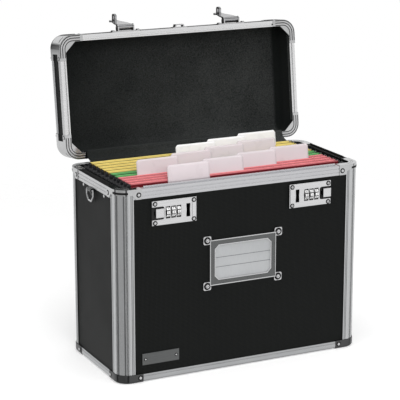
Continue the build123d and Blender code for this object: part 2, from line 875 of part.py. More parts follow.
hasp_axis_z = lid_rim + hasp_z
hasp_axis_y = -half_d - hasp_out
ear_x = hasp_width / 2 + slide_gap


def hasp_base():
    """Base plate with an eyelet at each end, two ears and the pin between them."""
    low = lid_rim + 0.3
    high = lid_rim + lid_rim_height
    half = eyelet_x
    middle = (low + high) / 2
    plate = block(slot_x - half, slot_x + half, -half_d - 1.2, -half_d, low, high)
    for side in (-1, 1):
        x = slot_x + side * eyelet_x
        plate = plate + rod_y(eyelet_radius, x, -half_d - 1.2, -half_d, middle)
        plate = plate + rod_y(2.4, x, -half_d - 2.6, -half_d - 1, middle)
        inner = slot_x + side * ear_x
        outer = inner + side * ear_thickness
        foot = block(min(inner, outer), max(inner, outer), hasp_axis_y, -half_d, low, high)
        knob = rod_x(barrel_radius + 0.4, min(inner, outer), max(inner, outer), hasp_axis_y, hasp_axis_z)
        plate = plate + foot + knob
    plate = plate & block(0, half_w, -half_d - 20, -half_d, low, high + 2)
    reach = ear_x + ear_thickness
    return plate + rod_x(hasp_pin_radius, slot_x - reach, slot_x + reach, hasp_axis_y, hasp_axis_z)


def hasp():
    """Barrel, tapering plate with an upturned tip, and the staple on its inner side."""
    half = hasp_width / 2
    barrel = rod_x(barrel_radius, slot_x - half, slot_x + half, hasp_axis_y, hasp_axis_z)
    inner = hasp_axis_y + barrel_radius
    outer = inner - tongue_plate
    tip = hasp_axis_z - tongue_reach
    points = []
    points.append((slot_x - half, hasp_axis_z))
    points.append((slot_x - half, hasp_axis_z - 14))
    points.append((slot_x - tongue_tip / 2, hasp_axis_z - 30))
    points.append((slot_x - tongue_tip / 2, tip + 3))
    points.append((slot_x - tongue_tip / 2 + 3, tip))
    points.append((slot_x + tongue_tip / 2 - 3, tip))
    points.append((slot_x + tongue_tip / 2, tip + 3))
    points.append((slot_x + tongue_tip / 2, hasp_axis_z - 30))
    points.append((slot_x + half, hasp_axis_z - 14))
    points.append((slot_x + half, hasp_axis_z))
    plate = prism_y(points, outer, inner)
    curl = rod_x(1.5, slot_x - tongue_tip / 2 + 1.5, slot_x + tongue_tip / 2 - 1.5, outer, tip + 1.0)
    bead = rod_x(1.2, slot_x - half + 1, slot_x + half - 1, outer, hasp_axis_z - 10)
    staple_z = hasp_axis_z - staple_reach
    long = staple_length / 2
    staple = block(slot_x - staple_width / 2, slot_x + staple_width / 2, inner - 0.4, inner + staple_height,
                   staple_z - long, staple_z + long)
    staple = fillet(staple.edges().filter_by(Axis.X).group_by(Axis.Y)[-1], 3.5)
    eye_high = inner + staple_height - 2.8
    eye = block(slot_x - 5, slot_x + 5, inner + 1.5, eye_high, staple_z - 2.4, staple_z + 2.4)
    staple = staple - eye
    shape = barrel + plate + curl + bead + staple
    return shape - rod_x(hasp_pin_radius + pin_gap, slot_x - 20, slot_x + 20, hasp_axis_y, hasp_axis_z)


def flipped(shape):
    """The hasp folded back about its pin, not quite flat."""
    turn = Pos(0, hasp_axis_y, hasp_axis_z) * Rot(-hasp_rest, 0, 0) * Pos(0, -hasp_axis_y, -hasp_axis_z)
    return turn * shape


def lid_pull():
    """A small arched loop in the middle of the lid's front rim."""
    low = lid_rim + 0.5
    high = lid_rim + 8
    foot = block(-10, 10, -half_d - 1, -half_d, low, high)
    arch = prism_z([(-7.5, -half_d), (-6, -half_d - 4.6), (6, -half_d - 4.6), (7.5, -half_d)], low, high)
    crown = -half_d - 3.2
    hollow = [(-5.5, -half_d), (-4.6, crown), (4.6, crown), (5.5, -half_d)]
    inner = prism_z(hollow, low - 1, high + 1)
    return foot + (arch - inner)


# Handle on the outside of the lid's top. It hangs straight down when the lid stands open.

pivot_z = lid_top - frame_lap + handle_up


def handle_bracket():
    x = handle_span / 2
    face = lid_top - frame_lap
    plate = block(x - 3, x + bracket_size, -bracket_size / 2, bracket_size / 2, face, face + 1.6)
    plate = fillet(plate.edges().filter_by(Axis.Z), 3)
    ear = block(x + 2, x + 5, -5, 5, face, pivot_z) + rod_x(5, x + 2, x + 5, 0, pivot_z)
    ear = ear - rod_x(handle_wire + pin_gap, x - 20, x + 20, 0, pivot_z)
    return plate + ear + Pos(x + 10.5, 0, face + 1.6) * dome(2.4, 1.1)


def handle():
    """Two arms and a round grip, drawn folded along the lid towards the hinge."""
    x = handle_span / 2
    arm_half = handle_wire + 0.6
    arms = []
    for side in (-1, 1):
        arms.append(rod_x(handle_wire, side * (x - 6), side * (x + 7), 0, 0))
        arm = block(side * (x - 3.5), side * (x - 8.5), -arm_half, handle_reach, -arm_half, arm_half)
        arms.append(fillet(arm.edges().filter_by(Axis.X).group_by(Axis.Y)[0], 1.6))
    grip = rod_x(grip_radius, -x + 2, x - 2, handle_reach, 0)
    grip = fillet(grip.edges().filter_by(GeomType.CIRCLE), 2.0)
    return joined([grip] + arms)


handle_hanging = opened(Pos(0, 0, pivot_z) * Rot(lid_angle - 90, 0, 0) * handle())


# Folders


def folder(y):
    """One hanging folder: a folded sheet with a roll round a bar along each upper edge."""
    top = folder_top - folder_roll
    s = roll_spread
    t = leaf_sheet / 2
    points = []
    points.append((y - s - t, top))
    points.append((y - 0.7, folder_bottom))
    points.append((y + 0.7, folder_bottom))
    points.append((y + s + t, top))
    points.append((y + s - t, top))
    points.append((y, folder_bottom + 8))
    points.append((y - s + t, top))
    sheet = prism_x(points, -folder_half, folder_half)
    front_roll = rod_x(folder_roll, -folder_half, folder_half, y - s, top)
    back_roll = rod_x(folder_roll, -folder_half, folder_half, y + s, top)
    return sheet + front_roll + back_roll


def hooks(y):
    """The hook on each end of both bars of one folder."""
    low = hanger_top - hook_grip
    points = []
    points.append((-folder_half, folder_top - folder_roll))
    points.append((-folder_half - folder_roll, hook_top))
    points.append((-folder_half - 0.75 * hook_crest, hook_top))
    points.append((-folder_half - hook_crest, hook_shoulder))
    points.append((-hook_tip_x, hook_shoulder))
    points.append((-hook_tip_x, low))
    points.append((-hook_tip_x + hook_wall, low))
    points.append((-hook_tip_x + hook_wall, hanger_top + slide_gap))
    points.append((-folder_half, hanger_top + slide_gap))
    shapes = []
    for bar in (y - roll_spread, y + roll_spread):
        hook = prism_y(points, bar - hook_thickness / 2, bar + hook_thickness / 2)
        shapes.extend(left_right(hook))
    return shapes


def tab(x, y):
    """A clear tab that stands on the front roll of a folder; x is its left end."""
    low = -tab_foot
    high = tab_height - tab_foot
    end = x + tab_width
    points = []
    points.append((x, low))
    points.append((end, low))
    points.append((end, high - tab_round))
    points.append((end - tab_round, high))
    points.append((x + tab_round, high))
    points.append((x, high - tab_round))
    plate = prism_y(points, -tab_thickness, 0)
    return Pos(0, y - roll_spread - folder_roll, folder_top) * Rot(-tab_lean, 0, 0) * plate


rear_places = [rear_folder_y - index * rear_pitch for index in range(7)]
red_places = [red_folder_y - index * red_pitch for index in range(4)]
yellow_folders = [folder(y) for y in rear_places[:5]]
green_folders = [folder(y) for y in rear_places[5:]]
red_folders = [folder(y) for y in red_places]
folder_hooks = []
for y in rear_places + red_places:
    folder_hooks.extend(hooks(y))
tabs = []
for index in range(3):
    tabs.append(tab(rear_tab_x - index * rear_tab_step, rear_places[index]))
for index in range(4):
    tabs.append(tab(middle_tab_x - index * middle_tab_step, rear_places[3 + index]))
    tabs.append(tab(red_tab_x - index * red_tab_step, red_places[index]))


# Write every piece

save("front_panel", [front_panel])
save("back_panel", [back_panel])
save("left_panel", [left_panel])
save("right_panel", [right_panel])
save("bottom_panel", [bottom_panel])
save("post_front_left", [posts[0]])
save("post_front_right", [posts[1]])
save("post_back_left", [posts[2]])
save("post_back_right", [posts[3]])
save("rim_rail_front", [rim_front])
save("rim_rail_back", [rim_back])
save("rim_rail_left", [rim_left])
save("rim_rail_right", [rim_right])
save("base_rails", base_rails)
save("rim_corner_caps", rim_caps)
save("base_corner_caps", base_caps)
save("case_rivets", rivets)
save("case_lining", [case_lining])
save("file_rails", file_rails)
save("hinge_case_leaf", [case_leaf])
save("hinge_pin", [hinge_pin])
save("lock_plates", left_right(lock_plate()))
save("lock_cases", left_right(lock_body()))
save("face_screws", lock_screws + label_screws + name_pins)
save("label_frame", [label_frame()])
save("label_card", [label_card()])
save("nameplate", [nameplate])
save("ring_clips", left_right(ring_clip()))
for index in range(3):
    save(f"dial_right_{index + 1}", [dial(index - 1)])
    save(f"dial_left_{index + 1}", [mirror(dial(1 - index), about=Plane.YZ)])
save("lock_button_left", [left_button])
save("lock_button_right", [right_button])
save("ring_left", [ring()])
save("ring_right", [mirror(ring(), about=Plane.YZ)])
save("lid_top_panel", [opened(lid_panel)])
save("lid_front_wall", [opened(lid_front)])
save("lid_back_wall", [opened(lid_back)])
save("lid_end_walls", [opened(item) for item in lid_ends])
save("lid_rim_rails", [opened(item) for item in lid_rails])
save("lid_edge_rails", [opened(item) for item in edge_rails])
save("lid_corner_caps", [opened(item) for item in lid_caps])
save("lid_rivets", [opened(item) for item in lid_rivets])
save("lid_lining", [opened(lid_lining)])
save("hinge_cover", [opened(hinge_cover)])
save("hinge_lid_leaf", [opened(lid_leaf)])
save("hasp_bases", [opened(item) for item in left_right(hasp_base())])
save("lid_pull", [opened(lid_pull())])
save("handle_brackets", [opened(item) for item in left_right(handle_bracket())])
save("hasp_left", [opened(mirror(flipped(hasp()), about=Plane.YZ))])
save("hasp_right", [opened(flipped(hasp()))])
save("handle", [handle_hanging])
save("folders_yellow", yellow_folders)
save("folders_green", green_folders)
save("folders_red", red_folders)
save("folder_hooks", folder_hooks)
save("folder_tabs", tabs)
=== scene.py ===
# %% [markdown]
# # Portable file box
# An aluminium-framed box for hanging folders, with its lid standing open.
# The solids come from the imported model. This script gives them their finishes and adds the pieces
# that solids show badly: rolled card, arched hooks, bowed tabs, dial figures, small springs and cloth.
# All lengths here are metres, and the frame is the model's: x to the right, y to the back, z up.

import json
import math
import random
from functools import partial

import bmesh
import bpy
from mathutils import Matrix, Vector, noise

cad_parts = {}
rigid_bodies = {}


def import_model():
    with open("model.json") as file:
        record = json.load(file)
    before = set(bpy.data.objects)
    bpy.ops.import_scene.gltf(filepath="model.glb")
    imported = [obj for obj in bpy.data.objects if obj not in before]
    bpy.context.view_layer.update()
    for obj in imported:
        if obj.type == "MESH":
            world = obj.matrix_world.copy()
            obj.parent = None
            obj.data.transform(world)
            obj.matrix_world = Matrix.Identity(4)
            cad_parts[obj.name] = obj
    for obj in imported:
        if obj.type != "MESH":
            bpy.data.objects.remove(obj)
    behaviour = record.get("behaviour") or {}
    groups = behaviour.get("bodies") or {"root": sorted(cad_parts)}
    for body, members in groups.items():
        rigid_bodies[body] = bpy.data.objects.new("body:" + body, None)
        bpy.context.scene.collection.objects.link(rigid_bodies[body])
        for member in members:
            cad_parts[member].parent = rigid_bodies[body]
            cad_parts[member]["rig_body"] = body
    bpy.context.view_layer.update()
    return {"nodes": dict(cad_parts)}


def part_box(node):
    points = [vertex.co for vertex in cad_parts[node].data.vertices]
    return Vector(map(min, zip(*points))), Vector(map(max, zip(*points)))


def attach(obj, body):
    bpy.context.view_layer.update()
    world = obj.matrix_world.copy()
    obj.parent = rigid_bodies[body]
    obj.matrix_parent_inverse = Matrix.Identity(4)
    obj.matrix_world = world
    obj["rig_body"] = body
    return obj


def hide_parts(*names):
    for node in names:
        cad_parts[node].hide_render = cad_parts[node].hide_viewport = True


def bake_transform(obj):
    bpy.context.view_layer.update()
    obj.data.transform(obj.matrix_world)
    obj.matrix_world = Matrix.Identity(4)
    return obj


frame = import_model()
nodes = frame["nodes"]
scene = bpy.context.scene

# %% [markdown]
# ## Sizes
# Most places are read from the model's own solids, so a piece always sits on what carries it.
# Only a few sizes that no single solid gives are named here.

# %% Sizes
MM = 0.001
lid_angle = math.radians(97)
hinge_y = 85.5 * MM
hinge_z = 255.75 * MM
half_width = 175 * MM
half_depth = 81.5 * MM
lid_rim = 256.5 * MM

lid_opening = (
    Matrix.Translation((0, hinge_y, hinge_z))
    @ Matrix.Rotation(-lid_angle, 4, "X")
    @ Matrix.Translation((0, -hinge_y, -hinge_z))
)
print("lid opens by", round(math.degrees(lid_angle)), "degrees")

# %% [markdown]
# ## Camera
# A long lens from a little above and to the left of the front. A short lens from nearby would also show
# the whole box, but its upright edges would lean together, so the camera stands far off.

# %% Camera
camera_place = Vector((-0.9381, -1.8798, 0.7548))
camera_forward = Vector((0.42384, 0.86971, -0.25291))
lens_data = bpy.data.cameras.new("camera")
lens_data.lens = 147.17
lens_data.sensor_width = 36
lens_data.clip_start = 0.05
lens_data.clip_end = 100
camera = bpy.data.objects.new("camera", lens_data)
camera.location = camera_place
camera.rotation_mode = "QUATERNION"
camera.rotation_quaternion = camera_forward.to_track_quat("-Z", "Y")
scene.collection.objects.link(camera)
scene.camera = camera
scene.view_settings.view_transform = "Standard"
print("lens", lens_data.lens)

# %% [markdown]
# ## Small tools for finishes
# Every finish is a node material. Images could be laid on the pieces instead, but they need a UV map on
# each one and show their pixels close up. These helpers keep each recipe short: one starts a material,
# one adds a node, one does a sum, and one gives a coordinate that can be turned and stretched.

# %% Node helpers


def start_finish(name, colour, metal=0.0, rough=0.5):
    material = bpy.data.materials.new(name)
    material.use_nodes = True
    tree = material.node_tree
    shader = tree.nodes["Principled BSDF"]
    shader.inputs["Base Color"].default_value = (*colour, 1)
    shader.inputs["Metallic"].default_value = metal
    shader.inputs["Roughness"].default_value = rough
    return material, tree, shader


def put(tree, kind, inputs=(), **settings):
    node = tree.nodes.new(kind)
    for key, value in settings.items():
        setattr(node, key, value)
    for key, value in dict(inputs).items():
        if isinstance(value, bpy.types.NodeSocket):
            tree.links.new(value, node.inputs[key])
        else:
            node.inputs[key].default_value = value
    return node


def maths(tree, operation, *values):
    node = put(tree, "ShaderNodeMath", operation=operation)
    for index, value in enumerate(values):
        if isinstance(value, bpy.types.NodeSocket):
            tree.links.new(value, node.inputs[index])
        else:
            node.inputs[index].default_value = value
    return node.outputs[0]


def place(tree, stretch=(1, 1, 1), turn=(0, 0, 0)):
    """Object coordinates, turned and then stretched."""
    coordinates = put(tree, "ShaderNodeTexCoord").outputs["Object"]
    turned = put(tree, "ShaderNodeMapping", {"Vector": coordinates, "Rotation": turn}).outputs[0]
    return put(tree, "ShaderNodeMapping", {"Vector": turned, "Scale": stretch}).outputs[0]


print("node helpers ready")

# %% [markdown]
# The next helpers mix patterns, colours and shaders, and turn a height into a bump. Most recipes below are
# a noise, spread over a range and used two or three times.

# %% Pattern helpers


def speckle(tree, vector, scale, detail=3.0, rough=0.55):
    values = {"Vector": vector, "Scale": scale, "Detail": detail, "Roughness": rough}
    return put(tree, "ShaderNodeTexNoise", values).outputs[0]


def spread(tree, value, low, high, start=0.3, end=0.7):
    values = {"Value": value, "From Min": start, "From Max": end, "To Min": low, "To Max": high}
    return put(tree, "ShaderNodeMapRange", values).outputs[0]


def times(tree, first, *others):
    for other in others:
        first = maths(tree, "MULTIPLY", first, other)
    return first


def mixed(tree, first, share, second):
    """Two patterns added up: a share of the first, and the rest from the second."""
    return maths(tree, "ADD", times(tree, first, share), times(tree, second, 1 - share))


def tint(tree, value, dark, light):
    """dark where the value is 0 and light where it is 1; dark may be a socket."""
    if not isinstance(dark, bpy.types.NodeSocket):
        dark = (*dark, 1)
    values = {"Factor": value, "A": dark, "B": (*light, 1)}
    return put(tree, "ShaderNodeMix", values, data_type="RGBA").outputs["Result"]


def between(tree, share, first, second):
    """The first shader where the share is 0, the second where it is 1."""
    return put(tree, "ShaderNodeMixShader", {0: share, 1: first, 2: second}).outputs[0]


def raise_bump(tree, shader, height, distance, strength=1.0):
    values = {"Height": height, "Distance": distance, "Strength": strength}
    feed(tree, put(tree, "ShaderNodeBump", values).outputs[0], shader, "Normal")


def feed(tree, value, shader, name):
    tree.links.new(value, shader.inputs[name])


print("pattern helpers ready")

# %% [markdown]
# ## Black laminate
# The walls are board with a thin black plastic skin. Its grain is a small diamond pressed into the surface.
# The grain could be modelled, but it would take millions of faces, so it is a bump. Two crossing sine
# waves make the diamond. The pair of coordinates that lies in the surface is picked from the surface
# normal, so the grain is the same size on every wall.

# %% Laminate
grain = 2.5 * MM
grain_height = 0.16 * MM
steep = 0.7


def picked(tree, flag, chosen, other):
    """The chosen value where the flag is 1, the other one where it is 0."""
    unset = maths(tree, "SUBTRACT", 1.0, flag)
    return maths(tree, "ADD", times(tree, chosen, flag), times(tree, other, unset))


def laminate(name, dark, light, rough, tilt=0.0):
    material, tree, shader = start_finish(name, dark, rough=rough)
    coordinates = put(tree, "ShaderNodeTexCoord").outputs
    parts = []
    for source in ("Object", "Normal"):
        turned = put(tree, "ShaderNodeMapping", {"Vector": coordinates[source], "Rotation": (tilt, 0, 0)})
        parts.append(put(tree, "ShaderNodeSeparateXYZ", {"Vector": turned.outputs[0]}).outputs)
    where, normal = parts
    on_side = maths(tree, "GREATER_THAN", maths(tree, "ABSOLUTE", normal[0]), steep)
    on_top = maths(tree, "GREATER_THAN", maths(tree, "ABSOLUTE", normal[2]), steep)
    across = picked(tree, on_side, where[1], where[0])
    upward = picked(tree, on_top, where[1], where[2])
    turns = 2 * math.pi / (grain * math.sqrt(2))
    rising = maths(tree, "SINE", times(tree, maths(tree, "ADD", across, upward), turns))
    falling = maths(tree, "SINE", times(tree, maths(tree, "SUBTRACT", across, upward), turns))
    diamond = times(tree, rising, falling)
    fine = speckle(tree, coordinates["Object"], 2600, 2)
    patches = speckle(tree, coordinates["Object"], 9, 4)
    raise_bump(tree, shader, maths(tree, "ADD", diamond, times(tree, fine, 0.9)), grain_height, 0.9)
    weave = spread(tree, diamond, -0.12, 1.25, -0.8, 0.8)
    shade = maths(tree, "ADD", weave, spread(tree, patches, -0.12, 0.16))
    feed(tree, tint(tree, shade, dark, light), shader, "Base Color")
    feed(tree, spread(tree, patches, rough - 0.04, rough + 0.06), shader, "Roughness")
    shader.inputs["Specular IOR Level"].default_value = 0.16
    return material


board_tones = ((0.001, 0.0012, 0.0012), (0.0095, 0.0108, 0.0102))
black_laminate = laminate("black_laminate", *board_tones, 0.42)
lid_laminate = laminate("lid_laminate", *board_tones, 0.5, tilt=lid_angle)
print(black_laminate.name, lid_laminate.name)

# %% [markdown]
# ## Aluminium
# The corner posts and rails are drawn through a die, which leaves fine lines along their length.
# An anisotropic shader would stretch the highlights but leave the metal flat. Here the lines come from a
# noise stretched hard in one direction, which feeds the roughness, a very small bump and a slight change
# of tone. A groove or an edge in shade takes a darker recipe of the same kind, which is painted shade.

# %% Aluminium


def drawn_metal(name, stretch, dark, light, rough, tilt=0.0, line_depth=0.02 * MM):
    """stretch: how often the noise repeats along each axis, so the lowest one lies along the lines."""
    material, tree, shader = start_finish(name, light, metal=1.0, rough=rough)
    lines = speckle(tree, place(tree, stretch, (tilt, 0, 0)), 1.0, 3, 0.6)
    tone = mixed(tree, lines, 0.7, speckle(tree, place(tree), 22, 3))
    feed(tree, tint(tree, spread(tree, tone, 0, 1), dark, light), shader, "Base Color")
    feed(tree, spread(tree, tone, rough + 0.07, rough - 0.05), shader, "Roughness")
    raise_bump(tree, shader, lines, line_depth, 0.35)
    return material


upright_lines = (1600, 1600, 14)
level_lines = (14, 14, 1600)
even_lines = (900, 900, 900)
post_metal = drawn_metal(
    "post_aluminium", upright_lines, (0.64, 0.65, 0.655), (0.76, 0.77, 0.78), 0.24)
post_groove_shade = drawn_metal("post_groove_shade", upright_lines, (0.20, 0.205, 0.21), (0.30, 0.305, 0.31), 0.35)
base_metal = drawn_metal(
    "base_rail_aluminium", level_lines, (0.53, 0.54, 0.55), (0.66, 0.67, 0.68), 0.3)
rim_metal = drawn_metal(
    "rim_rail_aluminium", (8, 900, 900), (0.70, 0.70, 0.725), (0.78, 0.78, 0.80), 0.24,
    line_depth=0.01 * MM)
side_rim_metal = drawn_metal(
    "side_rail_aluminium", (1500, 12, 1500), (0.68, 0.68, 0.69), (0.84, 0.84, 0.85), 0.26)
rim_groove_shade = drawn_metal("rail_groove_shade", (40, 1500, 1500), (0.46, 0.46, 0.47), (0.56, 0.56, 0.57), 0.3)
lid_rim_metal = drawn_metal(
    "lid_rim_aluminium", (8, 700, 700), (0.90, 0.90, 0.905), (0.97, 0.97, 0.975), 0.22,
    line_depth=0.006 * MM)
lid_edge_metal = drawn_metal(
    "lid_edge_aluminium", (14, 1600, 1600), (0.62, 0.63, 0.64), (0.80, 0.81, 0.82), 0.28,
    tilt=lid_angle)
# A near-black copy of the aluminium paints the dark reflection along the lid's front edge.
shaded_metal = drawn_metal(
    "lid_front_painted_reflection", (60, 900, 900), (0.02, 0.02, 0.02), (0.05, 0.05, 0.05), 0.35)
# A near-black copy of the aluminium paints shade in the cap rings, lines and bands.
groove_shade_metal = drawn_metal("groove_shade_aluminium", even_lines, (0.02, 0.02, 0.02), (0.06, 0.06, 0.06), 0.4)
print(post_metal.name, rim_metal.name)

# %% [markdown]
# ## Plated and brushed steel
# Caps, hasps, rings and screws are pressed or bent steel with a bright plate. It is nearly a mirror, and
# a plain mirror would look too clean, so it gets faint waves from the pressing and a little dulling in
# patches. The base caps and the clips have a darker plate.

# %% Plated steel


def plated(name, colour, rough, patch=0.1):
    material, tree, shader = start_finish(name, colour, metal=1.0, rough=rough)
    waves = speckle(tree, place(tree), 120, 2)
    dull = mixed(tree, waves, 0.4, speckle(tree, place(tree), 900, 4, 0.7))
    feed(tree, spread(tree, dull, rough * 0.8, rough + patch, 0.35, 0.68), shader, "Roughness")
    dark = tuple(c * 0.82 for c in colour)
    feed(tree, tint(tree, spread(tree, dull, 1, 0, 0.3, 0.75), dark, colour), shader, "Base Color")
    raise_bump(tree, shader, waves, 0.03 * MM, 0.3)
    return material


cap_plate = plated("cap_nickel", (0.74, 0.745, 0.75), 0.09, patch=0.06)
base_cap_plate = plated("base_cap_nickel", (0.12, 0.122, 0.124), 0.16)
# A near-black plate paints shadow round rivet and screw heads and along thin edges.
shadow_plate = plated("rivet_painted_shadow", (0.018, 0.018, 0.018), 0.3)
bright_plate = plated("bright_nickel", (0.84, 0.84, 0.85), 0.06, patch=0.05)
label_side_highlight = plated("label_side_highlight_nickel", (0.50, 0.51, 0.51), 0.15)
smoked_plate = plated("smoked_steel", (0.19, 0.195, 0.195), 0.2)
hasp_plate = plated("hasp_nickel", (0.56, 0.56, 0.57), 0.09, patch=0.06)
spring_steel = plated("spring_steel", (0.05, 0.05, 0.052), 0.3)
print(cap_plate.name, bright_plate.name)

# %% [markdown]
# The lock plates, the nameplate and the hinge are brushed one way. That is much like the lines on the drawn
# aluminium, so the same recipe serves, with other tones and other distances between the lines.

# %% Brushed steel
name_metal = drawn_metal(
    "name_plate_steel", (20, 1400, 1400), (0.15, 0.155, 0.155), (0.22, 0.225, 0.225), 0.3)
lock_plate_metal = drawn_metal(
    "lock_satin_steel", (25, 1800, 1800), (0.84, 0.84, 0.85), (0.95, 0.95, 0.96), 0.2)
# A near-black copy of the steel paints shade on the sides of the lock plates and buttons.
lock_edge_shade_metal = drawn_metal("lock_edge_shade_steel", even_lines, (0.03, 0.03, 0.03), (0.07, 0.07, 0.07), 0.25)
hinge_metal = drawn_metal(
    "hinge_steel", (14, 1200, 1200), (0.40, 0.40, 0.41), (0.55, 0.55, 0.56), 0.36)
print(name_metal.name, lock_plate_metal.name)

# %% [markdown]
# ## Plastic, lining, card and paper
# Moulded parts are plastic. A mould leaves a fine orange-peel, which breaks up the highlights. One fine
# noise makes the peel, and one wide noise keeps a large part from looking painted in a single tone.

# %% Plastics


def moulded(name, colour, rough, peel=0.05 * MM):
    material, tree, shader = start_finish(name, colour, rough=rough)
    skin = speckle(tree, place(tree), 1400, 3)
    wide = speckle(tree, place(tree), 40, 3)
    light = tuple(min(1, c * 1.35 + 0.004) for c in colour)
    feed(tree, tint(tree, spread(tree, wide, 0, 1), colour, light), shader, "Base Color")
    feed(tree, spread(tree, skin, rough - 0.06, rough + 0.1), shader, "Roughness")
    raise_bump(tree, shader, skin, peel, 0.4)
    return material


lock_black = moulded("lock_black", (0.006, 0.006, 0.006), 0.5)
hook_black = moulded("hook_black", (0.007, 0.0068, 0.008), 0.14, peel=0.03 * MM)
grip_black = moulded("grip_black", (0.015, 0.015, 0.015), 0.45)
dial_ivory = moulded("dial_ivory", (0.74, 0.74, 0.74), 0.3)
figure_black = moulded("figure_black", (0.012, 0.012, 0.012), 0.5)
print(lock_black.name)

# %% [markdown]
# The lining is a short pile. Real hairs could be grown on it, but they are far below what the eye can tell
# apart here, so a rough bump with a soft sheen at grazing angles stands for them. The lid's pile has light
# and shade painted into its tone: it gets lighter along x, as the light inside the lid gets stronger to the
# right, and turns dark near the right wall as a painted shadow.

# %% Lining cloth
# Where the lid lining's painted light and painted shadow lie along x.
lit_and_shaded_x = (-160 * MM, 120 * MM, 158 * MM)
shadow_edge_width = 4 * MM


def pile(name, dark, light, light_x=None):
    """The third argument gives three x positions: painted light makes the pile lighter from the first to the
    second, and a painted shadow makes it dark past the third.
    """
    material, tree, shader = start_finish(name, dark, rough=0.92)
    fibre = speckle(tree, place(tree), 620, 4, 0.85)
    clouds = speckle(tree, place(tree), 14, 4, 0.55)
    tone = spread(tree, mixed(tree, fibre, 0.75, clouds), 0, 1, 0.36, 0.64)
    if light_x:
        along = put(tree, "ShaderNodeSeparateXYZ", {"Vector": place(tree)}).outputs[0]
        rise = spread(tree, along, 0.26, 1.0, light_x[0], light_x[1])
        drop = spread(tree, along, 1.0, 0.12, light_x[2], light_x[2] + shadow_edge_width)
        tone = times(tree, tone, rise, drop)
    feed(tree, tint(tree, tone, dark, light), shader, "Base Color")
    raise_bump(tree, shader, fibre, 0.3 * MM, 0.8)
    shader.inputs["Sheen Weight"].default_value = 0.1
    shader.inputs["Sheen Roughness"].default_value = 0.45
    shader.inputs["Sheen Tint"].default_value = (0.5, 0.52, 0.52, 1)
    shader.inputs["Specular IOR Level"].default_value = 0.1
    return material


lining_pile = pile("lining_pile", (0.0055, 0.0068, 0.0065), (0.067, 0.0705, 0.069), lit_and_shaded_x)
case_pile = pile("case_pile", (0.006, 0.0065, 0.0065), (0.014, 0.015, 0.015))
print(lining_pile.name)

# %% [markdown]
# Card has long fibres and slow clouds of tone. The folders' card also gets painted shade deep between two
# folders. The shadows there could do that alone, but they come out too pale, so a point attribute adds to
# them.

# %% Card and paper


def card_stock(name, dark, light, rough, shade_attribute=None):
    """The last argument names a point attribute that is 1 on lit card and 0 deep between two folders, where
    it paints shade.
    """
    material, tree, shader = start_finish(name, light, rough=rough)
    fibre = speckle(tree, place(tree, (500, 900, 120)), 1.0, 4, 0.65)
    shade = spread(tree, mixed(tree, fibre, 0.5, speckle(tree, place(tree), 30, 3)), 0, 1)
    if shade_attribute:
        lit_share_value = put(tree, "ShaderNodeAttribute", attribute_name=shade_attribute).outputs["Fac"]
        shade = times(tree, maths(tree, "ADD", times(tree, shade, 0.18), 0.82), lit_share_value)
    feed(tree, tint(tree, shade, dark, light), shader, "Base Color")
    feed(tree, spread(tree, fibre, rough - 0.08, rough + 0.1), shader, "Roughness")
    raise_bump(tree, shader, fibre, 0.06 * MM, 0.35)
    return material


yellow_card = card_stock("yellow_card", (0.16, 0.085, 0.006), (1.0, 0.80, 0.235), 0.45, "lit_share")
green_card = card_stock("green_card", (0.002, 0.02, 0.006), (0.17, 0.54, 0.175), 0.45, "lit_share")
red_card = card_stock("red_card", (0.16, 0.008, 0.014), (0.96, 0.28, 0.30), 0.4, "lit_share")
print(yellow_card.name, green_card.name, red_card.name)

# %% [markdown]
# The label card is pale grey with two ruled lines. Thin boxes could stand for the ink, but ink has no
# thickness. So a line is where the height is within a hair of its place, found by comparing z.

# %% Label card
ruled_heights = (152.6 * MM, 139.9 * MM)
ruled_width = 0.45 * MM
ink_share = 0.75
ink_grey = (0.11, 0.115, 0.12)


def ruled_card(name):
    material = card_stock(name, (0.43, 0.44, 0.45), (0.50, 0.51, 0.52), 0.7)
    tree = material.node_tree
    shader = tree.nodes["Principled BSDF"]
    height = put(tree, "ShaderNodeSeparateXYZ", {"Vector": place(tree)}).outputs[2]
    ink = 0.0
    for line in ruled_heights:
        ink = maths(tree, "ADD", ink, maths(tree, "COMPARE", height, line, ruled_width))
    paper = shader.inputs["Base Color"].links[0].from_socket
    feed(tree, tint(tree, times(tree, ink, ink_share), paper, ink_grey), shader, "Base Color")
    return material


label_paper = ruled_card("label_paper")
print(label_paper.name)

# %% [markdown]
# A tab is thin clear plastic round a slip of paper. Two pieces could be stacked, but they would be a hair
# apart and flicker. The tab's own UV map runs from 0 to 1 over its face, so one finish can leave a clearer
# border and let the slip cover the middle.

# %% Tab finish
tab_border = (0.48, 0.455)


def clear_tab(name, colour, clear_middle, clear_border, glow_share):
    material, tree, shader = start_finish(name, colour, rough=0.28)
    face = put(tree, "ShaderNodeSeparateXYZ", {"Vector": put(tree, "ShaderNodeUVMap").outputs[0]})
    edges = []
    for socket, limit in zip(face.outputs, tab_border):
        from_middle = maths(tree, "ABSOLUTE", maths(tree, "SUBTRACT", socket, 0.5))
        edges.append(maths(tree, "GREATER_THAN", from_middle, limit))
    more_clear = times(tree, maths(tree, "MAXIMUM", *edges), clear_border - clear_middle)
    cloud = speckle(tree, place(tree), 45, 2)
    dark = tuple(c * 0.97 for c in colour)
    feed(tree, tint(tree, spread(tree, cloud, 0, 1), dark, colour), shader, "Base Color")
    feed(tree, spread(tree, cloud, 0.26, 0.32), shader, "Roughness")
    raise_bump(tree, shader, cloud, 0.04 * MM, 0.15)
    through = put(tree, "ShaderNodeBsdfTransparent").outputs[0]
    glow = put(tree, "ShaderNodeBsdfTranslucent", {"Color": (*colour, 1)}).outputs[0]
    paper = between(tree, glow_share, shader.outputs[0], glow)
    whole = between(tree, maths(tree, "ADD", clear_middle, more_clear), paper, through)
    feed(tree, whole, tree.nodes["Material Output"], "Surface")
    return material


